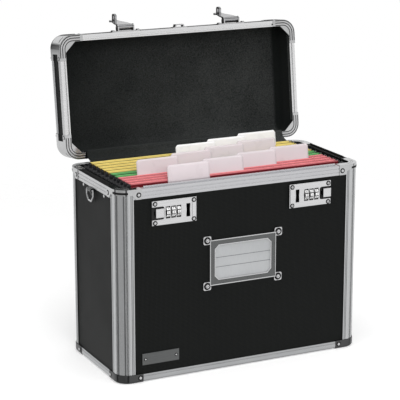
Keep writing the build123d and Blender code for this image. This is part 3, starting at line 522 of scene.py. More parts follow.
tab_pink = clear_tab("tab_pink", (0.96, 0.89, 0.915), 0.06, 0.2, 0.28)
tab_white = clear_tab("tab_white", (1.0, 0.995, 1.0), 0.0, 0.05, 0.02)
print(tab_pink.name, tab_white.name)

# %% [markdown]
# ## Dressing the solids
# A solid's mesh is loose triangles, so a copy is merged, its sharp edges are marked by angle, and a
# small bevel rounds them, because no real edge is perfectly sharp and a rounded edge catches the light.
# The copy rides on the same body and stands for the solid. Some faces can take a second finish.

# %% Dress helper
weld_gap = 0.004 * MM
flat_angle = math.radians(0.5)


def dress(node, finish, edge=0.25 * MM, angle=30, *special):
    """special: (finish, test) pairs; a face whose centre and normal pass the test takes that finish."""
    source = nodes[node]
    mesh = source.data.copy()
    mesh.materials.clear()
    for layer in (finish, *[other for other, test in special]):
        mesh.materials.append(layer)
    work = bmesh.new()
    work.from_mesh(mesh)
    bmesh.ops.remove_doubles(work, verts=work.verts, dist=weld_gap)
    bmesh.ops.dissolve_limit(work, angle_limit=flat_angle, verts=work.verts, edges=work.edges)
    for face in work.faces:
        face.smooth = True
        centre = face.calc_center_median()
        for index, (other, test) in enumerate(special):
            if test(centre, face.normal):
                face.material_index = index + 1
    for line in work.edges:
        line.smooth = line.is_manifold and line.calc_face_angle(0) < math.radians(angle)
    work.to_mesh(mesh)
    work.free()
    piece = bpy.data.objects.new(node + "_dressed", mesh)
    scene.collection.objects.link(piece)
    if edge > 0:
        rounding = piece.modifiers.new("rounding", "BEVEL")
        rounding.width = edge
        rounding.segments = 2
        rounding.limit_method = "ANGLE"
        rounding.angle_limit = math.radians(angle)
        rounding.harden_normals = True
        rounding.use_clamp_overlap = True
    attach(piece, source["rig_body"])
    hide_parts(node)


print("dress helper ready")

# %% [markdown]
# The walls are flat boards whose edges lie in the rails, so no bevel of theirs would show. Each keeps the
# solid itself and only takes a finish.

# %% Walls


def coat(node, finish):
    """The solid itself keeps its shape and only takes a finish."""
    mesh = nodes[node].data
    mesh.materials.clear()
    mesh.materials.append(finish)


for wall in ("front_panel", "back_panel", "left_panel", "right_panel", "bottom_panel"):
    coat(wall, black_laminate)
for wall in ("lid_top_panel", "lid_front_wall", "lid_back_wall", "lid_end_walls"):
    coat(wall, lid_laminate)
print("walls coated")

# %% [markdown]
# Grooves run along the posts and rails and round the caps. Their faces take darker finishes as painted
# shade, for the shadow that falls in them. They could be painted by hand, but then every change of size
# would ask for new paint. So each test below is given a face's centre and normal, and finds the faces that
# lie a little under the outer surface or in shade.

# %% Groove tests
corner_radius = 18 * MM
groove_start = 0.06 * MM
groove_end = 0.5 * MM
post_groove_end = 0.75 * MM
tongue_depth = 3.0 * MM
lid_shut = lid_opening.inverted()


def depth_in_wall(x, y):
    """How far a point lies inside the rounded outline of the case."""
    inward_x = half_width - abs(x)
    inward_y = half_depth - abs(y)
    if inward_x < corner_radius and inward_y < corner_radius:
        return corner_radius - math.hypot(corner_radius - inward_x, corner_radius - inward_y)
    return min(inward_x, inward_y)


def in_groove(spot, end=groove_end):
    return groove_start < depth_in_wall(spot.x, spot.y) < end


def in_post_groove(centre, normal):
    return in_groove(centre, post_groove_end)


def in_case_groove(centre, normal):
    return in_groove(centre) and abs(normal.z) < 0.9


def in_base_groove(centre, normal):
    return in_groove(centre) and centre.z > 5 * MM


def in_lid_groove(centre, normal):
    spot = lid_shut @ centre
    return in_groove(spot) and spot.z < lid_rim + 9 * MM


def on_inner_side(centre, normal):
    return depth_in_wall(centre.x, centre.y) > tongue_depth


def on_lid_front(centre, normal):
    spot = lid_shut @ centre
    return spot.y < -half_depth + 0.4 * MM and spot.z > lid_rim + 0.3 * MM


print("groove from", round(groove_start / MM, 2), "to", round(groove_end / MM, 2), "mm deep")

# %% [markdown]
# The lid's corner caps have sunk rings on their underside, which take a near-black finish as painted
# shade. The lid stands open, so a face's place is first turned back to where it is when the lid is shut,
# and there the rings lie at one height.

# %% Cap ring test
cap_below = 0.6 * MM
ring_depth = (0.05 * MM, 1.5 * MM)
cap_from = (150 * MM, 56 * MM)


def in_lid_ring(centre, normal):
    """True for the sunk rings on the underside of the lid's corner caps."""
    spot = lid_shut @ centre
    under = spot.z - (lid_rim - cap_below)
    on_cap = abs(spot.x) > cap_from[0] and abs(spot.y) > cap_from[1]
    return ring_depth[0] < under < ring_depth[1] and on_cap


print("rings up to", round(ring_depth[1] / MM, 2), "mm deep")

# %% [markdown]
# The frame holds the boards together: posts, rim rails and base rails on the case, rim and edge rails on
# the lid. The lines of the aluminium run along each post and rail. The lid's rails are only two nodes, and
# their lines follow the long rails.

# %% Frame
# Groove faces on the posts and rails take the darker groove finishes: painted shade.
for post in ("post_front_left", "post_front_right", "post_back_left", "post_back_right"):
    dress(post, post_metal, 0.18 * MM, 40, (post_groove_shade, in_post_groove))
for rail in ("rim_rail_front", "rim_rail_back"):
    dress(rail, rim_metal, 0.35 * MM, 40)
# The side rails' faces deep inside the case take black plastic: painted shade.
for rail in ("rim_rail_left", "rim_rail_right"):
    dress(rail, side_rim_metal, 0.25 * MM, 40,
          (rim_groove_shade, in_case_groove), (lock_black, on_inner_side))
dress("base_rails", base_metal, 0.25 * MM, 40, (rim_groove_shade, in_base_groove))
# The lid rim's faces along the front take that near-black finish: a painted dark reflection.
dress("lid_rim_rails", lid_rim_metal, 0.2 * MM, 40,
      (rim_groove_shade, in_lid_groove), (shaded_metal, on_lid_front))
dress("lid_edge_rails", lid_edge_metal, 0.18 * MM, 40)
print("frame dressed")

# %% [markdown]
# The label frame, the lock plates and the hasps get painted highlight on some sides and painted shade on
# others. These tests tell the sides apart, again by the place and the direction of a face.

# %% Fitting tests
label_raised = -half_depth - 1.0 * MM
label_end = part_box("label_card")[1].x
label_band = (label_end + 2.5 * MM, label_end + 7 * MM)
label_ear = label_end + 8.2 * MM
plate_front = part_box("lock_plates")[0].y
recess_depth = 1.2 * MM
recess_from = 106 * MM


def on_label_lip(centre, normal):
    return centre.y < label_raised or (normal.y > -0.5 and centre.y < -half_depth)


def on_label_right(centre, normal):
    return label_band[0] < centre.x < label_band[1] and normal.y < -0.5


def on_label_ear(centre, normal):
    return abs(centre.x) > label_ear


def on_plate_side(centre, normal):
    return abs(normal.y) < 0.5


def on_thin_edge(centre, normal):
    return abs(normal.x) > 0.6


def in_plate_recess(centre, normal):
    return centre.y > plate_front + recess_depth and abs(centre.x) > recess_from


print("label ends at", round(label_end / MM, 1), "mm")

# %% [markdown]
# Caps cover the corners, and the fittings are riveted or screwed on. A loop dresses the fittings that
# share a finish, so a change of that finish reaches them all.

# %% Caps and fittings
dress("rim_corner_caps", cap_plate, 0.2 * MM, 35)
dress("base_corner_caps", base_cap_plate, 0.25 * MM, 35)
dress("lid_corner_caps", cap_plate, 0.2 * MM, 35, (groove_shade_metal, in_lid_ring))
for fitting in ("case_rivets", "lid_rivets", "face_screws", "handle_brackets", "ring_left", "ring_right"):
    dress(fitting, bright_plate, 0.15 * MM, 35)
# Thin edges of these fittings take the near-black plate: painted shade.
for fitting in ("hasp_bases", "lid_pull"):
    dress(fitting, bright_plate, 0.15 * MM, 35, (shadow_plate, on_thin_edge))
for fitting in ("hasp_left", "hasp_right"):
    dress(fitting, hasp_plate, 0.15 * MM, 35, (shadow_plate, on_thin_edge))
dress("ring_clips", smoked_plate, 0.15 * MM, 35)
# The frame's lip and ears take the bright plate and its right-hand band a paler one: painted highlights.
dress("label_frame", smoked_plate, 0.15 * MM, 35,
      (bright_plate, on_label_lip), (label_side_highlight, on_label_right), (bright_plate, on_label_ear))
# The plates' and buttons' sides take near-black steel, and the plates' recesses black plastic: painted
# shade.
dress("lock_plates", lock_plate_metal, 0.2 * MM, 35,
      (lock_edge_shade_metal, on_plate_side), (lock_black, in_plate_recess))
for fitting in ("lock_button_left", "lock_button_right"):
    dress(fitting, lock_plate_metal, 0.3 * MM, 35, (lock_edge_shade_metal, on_plate_side))
dress("nameplate", name_metal, 0.15 * MM, 35)
for leaf in ("hinge_case_leaf", "hinge_lid_leaf", "hinge_pin"):
    dress(leaf, hinge_metal, 0.15 * MM, 35)
dress("lock_cases", lock_black, 0.3 * MM, 35)
dress("file_rails", hook_black, 0.3 * MM, 35)
dress("handle", grip_black, 0.4 * MM, 35)
coat("label_card", label_paper)
print("fittings dressed")

# %% [markdown]
# ## Pieces made as meshes
# Card, cloth and moulded backs have soft bends that a solid shows badly. They could be sculpted, but rows
# of points keep each bend a number that can be changed. These helpers turn the rows into a smooth surface,
# make an object that rides on a body and stands for solids, and give a sheet its thickness.

# %% Mesh helpers


def surface(name, rows, closed=False):
    """A smooth surface through rows of points; closed joins the last point of each row to its first."""
    work = bmesh.new()
    made = [[work.verts.new(point) for point in row] for row in rows]
    for upper, lower in zip(made, made[1:]):
        count = len(upper)
        for index in range(count if closed else count - 1):
            after = (index + 1) % count
            work.faces.new((upper[index], upper[after], lower[after], lower[index]))
    bmesh.ops.remove_doubles(work, verts=work.verts, dist=0.01 * MM)
    bmesh.ops.recalc_face_normals(work, faces=work.faces)
    for face in work.faces:
        face.smooth = True
    mesh = bpy.data.meshes.new(name)
    work.to_mesh(mesh)
    work.free()
    return mesh


def add_piece(name, mesh, finish, body, *stands_for):
    mesh.materials.clear()
    mesh.materials.append(finish)
    piece = bpy.data.objects.new(name, mesh)
    scene.collection.objects.link(piece)
    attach(piece, body)
    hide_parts(*stands_for)
    return piece


def thicken(piece, thickness, offset):
    layer = piece.modifiers.new("thickness", "SOLIDIFY")
    layer.thickness = thickness
    layer.offset = offset
    layer.use_even_offset = True
    return layer


def evenly(start, end, count):
    return [start + (end - start) * index / (count - 1) for index in range(count)]


print("mesh helpers ready")

# %% [markdown]
# ## Hanging folders
# A folder is one sheet of card. It is folded at the bottom, and each upper edge is rolled round a bar.
# Seven stand in a group at the back and four red ones in a group at the front, each group with its own
# pitch.

# %% Folder sizes
folder_lo, folder_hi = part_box("folders_yellow")
folder_half = folder_hi.x
folder_top = folder_hi.z
folder_low = folder_lo.z
roll = 1.0 * MM
bar_out = 3.4 * MM
card_thick = 0.42 * MM
fold_out = 0.5 * MM
fold_lift = 0.4 * MM
side_end = 3.2 * MM
rear_first = 65.5 * MM
front_last = -61.1 * MM
run = rear_first - front_last
rear_pitch = 0.109
red_pitch = 0.0885
rear_places = [rear_first - index * run * rear_pitch for index in range(7)]
red_places = [front_last + (3 - index) * run * red_pitch for index in range(4)]
print("folder", round(2 * folder_half / MM), "mm wide,", round((folder_top - folder_low) / MM), "mm high")

# %% [markdown]
# The profile runs over the back roll, down to the fold and up over the front roll. A cloth simulation could
# find its bulge, but the result would change with every setting, so a sine gives it.

# %% Folder profile


def half_profile(bulge):
    """From the bottom fold up one side, as (out, z), ending inside the roll."""
    points = []
    for step in evenly(0, 1, 15):
        z = folder_low + fold_lift + (folder_top - side_end - folder_low) * step
        out = fold_out + (bar_out + roll * 0.9 - fold_out) * step ** 1.15
        out += bulge * math.sin(math.pi * step) * (1 - 0.4 * step)
        points.append((out, z))
    for turn in evenly(-10, 235, 12):
        angle = math.radians(turn)
        points.append((bar_out + roll * math.cos(angle), folder_top - roll + roll * math.sin(angle)))
    return points


print("points on one side", len(half_profile(0)))

# %% [markdown]
# Card and cloth never hang quite straight. A few sine waves with random heights, rates and phases bow each
# sheet. A noise would do as well, but sines stay smooth and let the size of the bow be set.

# %% Waves


def random_waves(chance, count, sizes, rates):
    """(height in metres, half turns over the width, phase) for each wave; sizes is in millimetres."""
    return [(chance.uniform(*sizes) * MM, chance.uniform(*rates), chance.uniform(0, 6.28))
            for number in range(count)]


def wave_height(waves, share):
    return sum(size * math.sin(rate * share * math.pi + phase) for size, rate, phase in waves)


print("waves ready")

# %% [markdown]
# A point attribute tells the card's finish how much painted shade a point gets, from how deep it lies
# between two folders. The part near the top that faces the front gets less painted shade, because light
# reaches it from there. A smaller front depth makes a colour's painted shade start nearer the top. Every
# folder is one sheet, hung from the hooks.

# %% Folders
lit_depth_back = 2.6


def folder_rows(place_y, seed):
    chance = random.Random(seed)
    bulges = (chance.uniform(0.1, 0.9) * MM, chance.uniform(0.1, 0.9) * MM)
    waves = random_waves(chance, 3, (0.12, 0.4), (1.0, 2.6))
    rows = []
    for x in evenly(-folder_half, folder_half, 41):
        share = x / folder_half
        bow = wave_height(waves, share)
        row = []
        for side, bulge in zip((1, -1), bulges):
            for out, z in half_profile(bulge)[::-side]:
                high = (z - folder_low) / (folder_top - folder_low)
                held = 1 - high ** 6
                row.append((x, place_y + side * out + bow * held * 0.9, z - abs(bow) * 0.25 * high))
        rows.append(row)
    return rows


def hanging_folder(name, place_y, seed, finish, solid, lit_depth_front):
    mesh = surface(name, folder_rows(place_y, seed))
    lit_share = mesh.attributes.new("lit_share", "FLOAT", "POINT")
    # The attribute carries painted shade: 1 on lit card near the top, falling to 0 further down.
    for vert, value in zip(mesh.vertices, lit_share.data):
        below = (folder_top - vert.co.z) / MM
        most = lit_depth_front if vert.co.y < place_y else lit_depth_back
        value.value = max(0.0, min(1.0, most - below))
    folder = add_piece(name, mesh, finish, "files", solid)
    thicken(folder, card_thick, -1)


yellow = (yellow_card, "folders_yellow", 1.35)
green = (green_card, "folders_green", 1.0)
red = (red_card, "folders_red", 0.95)
for index, (place_y, colour) in enumerate(zip(rear_places, [yellow] * 5 + [green] * 2)):
    hanging_folder(f"folder_rear_{index + 1}", place_y, 20 + index, *colour)
for index, place_y in enumerate(red_places):
    hanging_folder(f"folder_red_{index + 1}", place_y, 50 + index, *red)
print("folders", len(rear_places) + len(red_places))

# %% [markdown]
# ## Repeating a piece
# Hooks, tabs, shadow rings and spring coils repeat. A loop could copy objects, but a node tree is made for
# this: it puts one piece at every point of a list, turned and sized as the point says, and joins the copies
# into one mesh.

# %% Repeat tree


def repeat_tree():
    tree = bpy.data.node_groups.new("repeat_at_places", "GeometryNodeTree")
    for name, kind in (("Places", "Geometry"), ("Piece", "Object"), ("Finish", "Material")):
        tree.interface.new_socket(name, in_out="INPUT", socket_type="NodeSocket" + kind)
    tree.interface.new_socket("Copies", in_out="OUTPUT", socket_type="NodeSocketGeometry")
    given = put(tree, "NodeGroupInput").outputs
    spots = put(tree, "GeometryNodeMeshToPoints", {"Mesh": given["Places"]})
    shape = put(tree, "GeometryNodeObjectInfo", {"Object": given["Piece"]})
    links = {"Points": spots.outputs[0], "Instance": shape.outputs["Geometry"]}
    for socket, name in (("Scale", "size"), ("Rotation", "turn")):
        stored = put(tree, "GeometryNodeInputNamedAttribute", {"Name": name}, data_type="FLOAT_VECTOR")
        links[socket] = stored.outputs[0]
    copies = put(tree, "GeometryNodeInstanceOnPoints", links)
    real = put(tree, "GeometryNodeRealizeInstances", {"Geometry": copies.outputs[0]})
    cover = put(tree, "GeometryNodeSetMaterial", {"Geometry": real.outputs[0], "Material": given["Finish"]})
    put(tree, "NodeGroupOutput", {"Copies": cover.outputs[0]})
    return tree


repeat_at_places = repeat_tree()


def repeated(name, pattern, places, finish, body, *stands_for):
    """places: (point, turn, size) for each copy; pattern: a mesh at the origin."""
    spots = bpy.data.meshes.new(name + "_places")
    spots.from_pydata([point for point, turn, size in places], [], [])
    turns = spots.attributes.new("turn", "FLOAT_VECTOR", "POINT")
    turns.data.foreach_set("vector", [value for point, turn, size in places for value in turn])
    sizes = spots.attributes.new("size", "FLOAT_VECTOR", "POINT")
    sizes.data.foreach_set("vector", [size for point, turn, size in places for axis in range(3)])
    holder = bpy.data.objects.new(name + "_holder", spots)
    sample = bpy.data.objects.new(name + "_sample", pattern)
    for helper in (holder, sample):
        scene.collection.objects.link(helper)
    step = holder.modifiers.new("repeat", "NODES")
    step.node_group = repeat_at_places
    for item in repeat_at_places.interface.items_tree:
        if item.name in ("Piece", "Finish"):
            step[item.identifier] = sample if item.name == "Piece" else finish
    graph = bpy.context.evaluated_depsgraph_get()
    graph.update()
    mesh = bpy.data.meshes.new_from_object(holder.evaluated_get(graph))
    for helper in (holder, sample):
        bpy.data.objects.remove(helper)
    for spare in ("turn", "size"):
        if spare in mesh.attributes:
            mesh.attributes.remove(mesh.attributes[spare])
    return add_piece(name, mesh, finish, body, *stands_for)


print("repeat tree ready")

# %% [markdown]
# ## Hooks
# The two bars of a folder end in one black moulded saddle that hangs over the rail. Its back is arched,
# so the row of saddles looks like a row of knuckles. The right-hand ones are turned half round.

# %% Hook sizes
hook_lo, hook_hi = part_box("folder_hooks")
hook_length = folder_half - hook_hi.x
hook_crest = hook_hi.z - folder_top
hook_drop = hook_lo.z - folder_top
hook_shoulder = 255.5 * MM - folder_top
hook_half = bar_out + 2.0 * MM
hook_wall = 1.2 * MM
saddle_fall = 6.5 * MM
bar_level = 248.3 * MM - folder_top
print("hook", round(-hook_length / MM, 1), "mm long")

# %% [markdown]
# A saddle is a row of side views, lower towards both ends, joined into one skin and closed at the ends. An
# extruded outline would be quicker, but it would have a straight back.

# %% Hooks


def saddle_row(y):
    """The side view of a saddle at one y: lower towards both ends."""
    fall = saddle_fall * (abs(y) / hook_half) ** 2.2
    crest = hook_crest - fall
    back = hook_shoulder - fall
    tip = min(back - 2.2 * MM, hook_shoulder - 3 * MM)
    inner = hook_length + hook_wall
    arch = (
        (1.0 * MM, crest - 2.0 * MM), (-0.8 * MM, crest - 0.5 * MM), (-2.4 * MM, crest), (-3.2 * MM, back),
        (-4.8 * MM, back - 0.9 * MM), (-6.2 * MM, back - 1.1 * MM), (-7.6 * MM, back - 0.3 * MM),
        (-9.2 * MM, back - 0.4 * MM), (hook_length + 0.6 * MM, back - 1.0 * MM), (hook_length, tip),
    )
    claw = ((hook_length, hook_drop), (inner, hook_drop), (inner, bar_level), (1.0 * MM, bar_level))
    return [(x, y, z) for x, z in arch + claw]


saddle = surface("saddle", [saddle_row(y) for y in evenly(-hook_half, hook_half, 13)], closed=True)
closing = bmesh.new()
closing.from_mesh(saddle)
bmesh.ops.holes_fill(closing, edges=closing.edges, sides=0)
bmesh.ops.recalc_face_normals(closing, faces=closing.faces)
closing.to_mesh(saddle)
closing.free()
hook_places = []
for place_y in rear_places + red_places:
    for end_x, turn in ((-folder_half, 0), (folder_half, math.pi)):
        hook_places.append(((end_x, place_y, folder_top), (0, 0, turn), 1))
hanging_hooks = repeated("hanging_hooks", saddle, hook_places, hook_black, "files", "folder_hooks")
print("saddles", len(hook_places), "faces", len(hanging_hooks.data.polygons))

# %% [markdown]
# ## Tabs
# A tab is a thin plate with round upper corners. It bows slightly and leans over its folder. Each row of
# tabs starts at its own x and steps to the left by its own pitch.

# %% Tabs
tab_width = 59 * MM
tab_foot = -4 * MM
tab_high = 19 * MM
tab_lean = math.radians(-10)
tab_front = bar_out + roll
tab_corner = 2.5 * MM
tab_bow = 0.35 * MM
tab_thick = 0.3 * MM
white_tab_x = 65.5 * MM
white_tab_step = 53 * MM
middle_tab_x = 43 * MM
middle_tab_step = 55 * MM
red_tab_x = 64.5 * MM
red_tab_step = 54.5 * MM


def tab_mesh():
    """One tab standing on the origin, with a UV map that runs from 0 to 1 both ways."""
    work = bmesh.new()
    layer = work.loops.layers.uv.new("face")
    grid = []
    for level in evenly(0, 1, 9):
        row = []
        z = tab_foot + level * (tab_high - tab_foot)
        over = max(0, z - (tab_high - tab_corner))
        inset = tab_corner - math.sqrt(max(0, tab_corner ** 2 - over ** 2))
        for across in evenly(0, 1, 21):
            x = inset + across * (tab_width - 2 * inset)
            bow = tab_bow * math.sin(math.pi * across) * level
            row.append((work.verts.new((x, -tab_thick - bow, z)), (across, level)))
        grid.append(row)
    for lower, upper in zip(grid, grid[1:]):
        for index in range(len(lower) - 1):
            corners = (lower[index], lower[index + 1], upper[index + 1], upper[index])
            face = work.faces.new([vert for vert, place_on_face in corners])
            face.smooth = True
            for loop, (vert, place_on_face) in zip(face.loops, corners):
                loop[layer].uv = place_on_face
    mesh = bpy.data.meshes.new("tab")
    work.to_mesh(mesh)
    work.free()
    return mesh


tab_rows = (
    (white_tab_x, white_tab_step, rear_places[:3], tab_white),
    (middle_tab_x, middle_tab_step, rear_places[3:], tab_pink),
    (red_tab_x, red_tab_step, red_places, tab_pink),
)
tab_places = {tab_white: [], tab_pink: []}
for first_x, step, places, finish in tab_rows:
    for index, place_y in enumerate(places):
        spot = (first_x - index * step, place_y - tab_front, folder_top)
        tab_places[finish].append((spot, (tab_lean, 0, 0), 1))
for name, finish in (("white_tabs", tab_white), ("pink_tabs", tab_pink)):
    tabs = repeated(name, tab_mesh(), tab_places[finish], finish, "files", "folder_tabs")
    thicken(tabs, tab_thick, 0)
print("tabs", sum(len(places) for places in tab_places.values()))

# %% [markdown]
# ## Painted shadow rings and cap beads
# Every rivet and screw gets a thin near-black ring round its bright head: a painted shadow. Their places
# could be typed in, but the heads can be found as the separate islands of the solids, so each ring lies
# exactly under its head.

# %% Separate parts of a mesh


def islands(mesh):
    """The corner points of each connected part of a mesh."""
    group = list(range(len(mesh.vertices)))

    def root(item):
        while group[item] != item:
            group[item] = group[group[item]]
            item = group[item]
        return item

    spots = {}
    for index, vert in enumerate(mesh.vertices):
        key = tuple(round(value, 6) for value in vert.co)
        group[root(index)] = root(spots.setdefault(key, index))
    for line in mesh.edges:
        group[root(line.vertices[0])] = root(line.vertices[1])
    parts = {}
    for index, vert in enumerate(mesh.vertices):
        parts.setdefault(root(index), []).append(vert.co.copy())
    return list(parts.values())


print("rivets in the case", len(islands(nodes["case_rivets"].data)))

# %% [markdown]
# A shadow ring is a thin ring that starts under its head and reaches out past it. The head is thinnest
# along the way it faces, so that is how the way is found.

# %% Shadow rings
shadow_ring_profile = ((0.9, 0.02), (1.15, 0.05), (1.5, 0.03), (1.62, 0.0))
shadow_ring_gap = 0.03 * MM
head_depth = 1.3 * MM
box_middle = Vector((0, 0, 150 * MM))


def seat_mesh():
    """A flat ring round a head of radius 1."""
    rows = []
    for radius, height in shadow_ring_profile:
        around = evenly(0, 2 * math.pi, 25)[:-1]
        rows.append([Vector((radius * math.cos(a), radius * math.sin(a), height)) for a in around])
    return surface("shadow_ring", rows, closed=True)


def seats(name, node, body, frame_move=Matrix.Identity(4)):
    """A head points away from the middle of the box, along x or y in the frame of the shut box."""
    places = []
    back = frame_move.inverted()
    for part in islands(nodes[node].data):
        local = [back @ point for point in part]
        low = Vector([min(point[i] for point in local) for i in range(3)])
        high = Vector([max(point[i] for point in local) for i in range(3)])
        size = high - low
        axis = min((0, 1), key=lambda i: size[i])
        if size[axis] > head_depth and node != "face_screws":
            continue
        centre = (low + high) / 2
        way = Vector((0, 0, 0))
        way[axis] = 1 if centre[axis] > box_middle[axis] else -1
        foot = centre - way * (size[axis] / 2 - shadow_ring_gap)
        radius = max(size[1 - axis], size[2]) / 2
        turned = frame_move.to_3x3() @ way
        places.append((frame_move @ foot, turned.to_track_quat("Z", "Y").to_euler(), radius))
    repeated(name, seat_mesh(), places, shadow_plate, body)
    return len(places)


shadow_ring_count = seats("rivet_seats", "case_rivets", "case")
shadow_ring_count += seats("screw_seats", "face_screws", "case")
shadow_ring_count += seats("lid_rivet_seats", "lid_rivets", "lid", lid_opening)
print("seats", shadow_ring_count)

# %% [markdown]
# Bright beads and lines of painted shade run round the underside of the lid's corner caps, and a band of
# painted shade runs round each rim cap. They stand out by a fifth of a millimetre or less, so they are thin
# skins on the metal. One corner is made and copied to all four.

# %% Corner helper


def at_corners(name, patterns, finish, body, outward, move=Matrix.Identity(4)):
    """patterns: rows of points for the corner at +x, -y. outward gives the way out at a point."""
    parts = bmesh.new()
    for rows in patterns:
        for side_x in (1, -1):
            for side_y in (1, -1):
                copy = [[move @ Vector((side_x * x, side_y * y, z)) for x, y, z in row] for row in rows]
                parts.from_mesh(surface(name + "_part", copy))
    for face in parts.faces:
        if outward(face.calc_center_median()).dot(face.normal) < 0:
            face.normal_flip()
    mesh = bpy.data.meshes.new(name)
    parts.to_mesh(mesh)
    parts.free()
    add_piece(name, mesh, finish, body)
    return len(mesh.polygons)


corner_x = half_width - corner_radius
corner_y = -(half_depth - corner_radius)
print("corner centre at", round(corner_x / MM, 1), round(corner_y / MM, 1))

# %% [markdown]
# A lid cap has two bright beads with three lines of painted shade beside them. Each is a strip that goes
# straight, round the corner and straight again.

# %% Cap beads
bead_tail = 11 * MM
bead_shape = ((-1, 0.02), (-0.6, 0.14), (0.6, 0.14), (1, 0.02))


def lid_bead(reach, half):
    """Rows of a raised band round the corner, seen in the lid's own frame when it is shut."""
    line = [(corner_x - bead_tail, corner_y, 0, -1)]
    for turn in evenly(0, 90, 13):
        angle = math.radians(turn)
        line.append((corner_x, corner_y, math.sin(angle), -math.cos(angle)))
    line.append((corner_x, corner_y + bead_tail, 1, 0))
    rows = []
    for share, height in bead_shape:
        out = reach + share * half
        level = lid_rim - cap_below - height * MM
        rows.append([(x + out_x * out, y + out_y * out, level) for x, y, out_x, out_y in line])
    return rows


def below_lid(spot):
    return lid_opening.to_3x3() @ Vector((0, 0, -1))


shade_lines = [lid_bead(reach, 0.55 * MM) for reach in (14.4 * MM, 11.0 * MM, 17.6 * MM)]
bright_beads = [lid_bead(reach, 0.6 * MM) for reach in (16.0 * MM, 12.7 * MM)]
bead_faces = at_corners("lid_cap_lines", shade_lines, groove_shade_metal, "lid", below_lid, lid_opening)
bead_faces += at_corners("lid_cap_beads", bright_beads, bright_plate, "lid", below_lid, lid_opening)
print("bead faces", bead_faces)

# %% [markdown]
# The band round a rim cap is one strip of painted shade that ends short of both sides of the cap.

# %% Cap bands
band_heights = (249.4 * MM, 252.2 * MM)
band_turns = (12, 78)
band_slope = 0.2 * MM
band_out = 0.8 * MM


def cap_band():
    """Rows of a band of painted shade round the corner of a rim cap, between two heights and two angles."""
    low, high = band_heights
    start, end = (math.radians(turn) for turn in band_turns)
    rows = []
    for height, proud in ((low, 0.02), (low + band_slope, 0.2), (high - band_slope, 0.2), (high, 0.02)):
        out = corner_radius + band_out + proud * MM
        rows.append([(corner_x + out * math.sin(angle), corner_y - out * math.cos(angle), height)
                     for angle in evenly(start, end, 15)])
    return rows


def sideways(spot):
    return Vector((spot.x, spot.y, 0))


print("band faces", at_corners("rim_cap_bands", [cap_band()], groove_shade_metal, "case", sideways))

# %% [markdown]
# A coil spring lies between the barrel of each hasp and its base, and keeps the hasp from rattling. A helix
# would be the true shape, but close-wound coils look like a stack of rings, so a ring is repeated.

# %% Springs
spring_wire = 0.36 * MM
spring_radius = 0.9 * MM
spring_half = 9.2 * MM
spring_coils = 24
hasp_middle = 78.8 * MM
spring_y = -(half_depth + 2.9 * MM)
spring_z = lid_rim + 4.0 * MM


def ring_mesh():
    rows = []
    for around in evenly(0, 2 * math.pi, 15):
        row = []
        for turn in evenly(0, 2 * math.pi, 7)[:-1]:
            out = spring_radius + spring_wire * math.cos(turn)
            row.append((spring_wire * math.sin(turn), out * math.cos(around), out * math.sin(around)))
        rows.append(row)
    return surface("ring", rows, closed=True)


spring_places = []
for side in (-1, 1):
    for shift in evenly(-spring_half, spring_half, spring_coils):
        spot = lid_opening @ Vector((side * hasp_middle + shift, spring_y, spring_z))
        spring_places.append((spot, (0, 0, 0), 1))
repeated("hasp_springs", ring_mesh(), spring_places, spring_steel, "lid")
print("spring coils", len(spring_places))

# %% [markdown]
# ## Lining
# Each lining is a pan of cloth glued to the inside: it goes down the walls, round the bottom edge and
# over the floor. A box with a bevel would do for the shape, but rows of points can be dented one by one.
# Each row is a closed loop round the pan.

# %% Loops round a pan
corner_ways = ((1, 1), (-1, 1), (-1, -1), (1, -1))
long_steps = 40
short_steps = 18
least_radius = 1.5 * MM


def pan_loop(half_x, half_y, corner, height):
    """A rectangle with round corners. Every loop has the same number of points."""
    radius = max(least_radius, min(corner, half_x - 0.05 * MM, half_y - 0.05 * MM))

    def on_corner(number, turn):
        side_x, side_y = corner_ways[number]
        angle = math.radians(90 * number + turn)
        centre = Vector((side_x * (half_x - radius), side_y * (half_y - radius), height))
        return centre + Vector((radius * math.cos(angle), radius * math.sin(angle), 0))

    points = []
    for number in range(4):
        points.extend(on_corner(number, turn) for turn in evenly(0, 90, 6))
        begin = points[-1]
        end = on_corner((number + 1) % 4, 0)
        steps = long_steps if number % 2 == 0 else short_steps
        points.extend(begin.lerp(end, step / steps) for step in range(1, steps))
    return points


print("points in a loop", len(pan_loop(1, 1, 0.1, 0)))

# %% [markdown]
# The loops go down the wall, round the edge and inwards over the floor, and the last one is the line in the
# middle of the floor. A slow noise gives the cloth its small dents.

# %% Pan of cloth
cloth = 1.5 * MM
cloth_thick = 1.0 * MM
cloth_off = 0.35 * MM
wide_dent = 0.35 * MM
small_dent = 0.12 * MM
floor_line = 3.5 * MM


def pan_lining(name, half_size, corner, levels, edge, finish, body, move, solid):
    """levels: height of the rim and of the floor. edge: radius between the walls and the floor."""
    half_x, half_y = half_size
    rim, floor_level = levels
    way = 1 if floor_level > rim else -1
    rows = [pan_loop(half_x, half_y, corner, height) for height in evenly(rim, floor_level - way * edge, 9)]
    for turn in evenly(15, 90, 6):
        angle = math.radians(turn)
        inset = edge * (1 - math.cos(angle))
        height = floor_level - way * edge * (1 - math.sin(angle))
        rows.append(pan_loop(half_x - inset, half_y - inset, max(corner - inset, 0), height))
    for share in evenly(0, 1, 12)[1:]:
        inset = edge + (half_y - floor_line - edge) * share
        rows.append(pan_loop(half_x - inset, half_y - inset, max(corner - inset, 0), floor_level))
    reach = half_x - half_y
    rows.append([Vector((max(-reach, min(reach, point.x)), 0, floor_level)) for point in rows[-1]])
    middle = Vector((0, 0, (rim + floor_level) / 2))
    for row in rows:
        for point in row:
            dent = noise.noise(point * 24) * wide_dent + noise.noise(point * 90) * small_dent
            point += (middle - point).normalized() * (cloth_off + dent)
    mesh = surface(name, [[move @ point for point in row] for row in rows], closed=True)
    lining = add_piece(name, mesh, finish, body, solid)
    thicken(lining, cloth_thick, 0).use_even_offset = False
    return lining


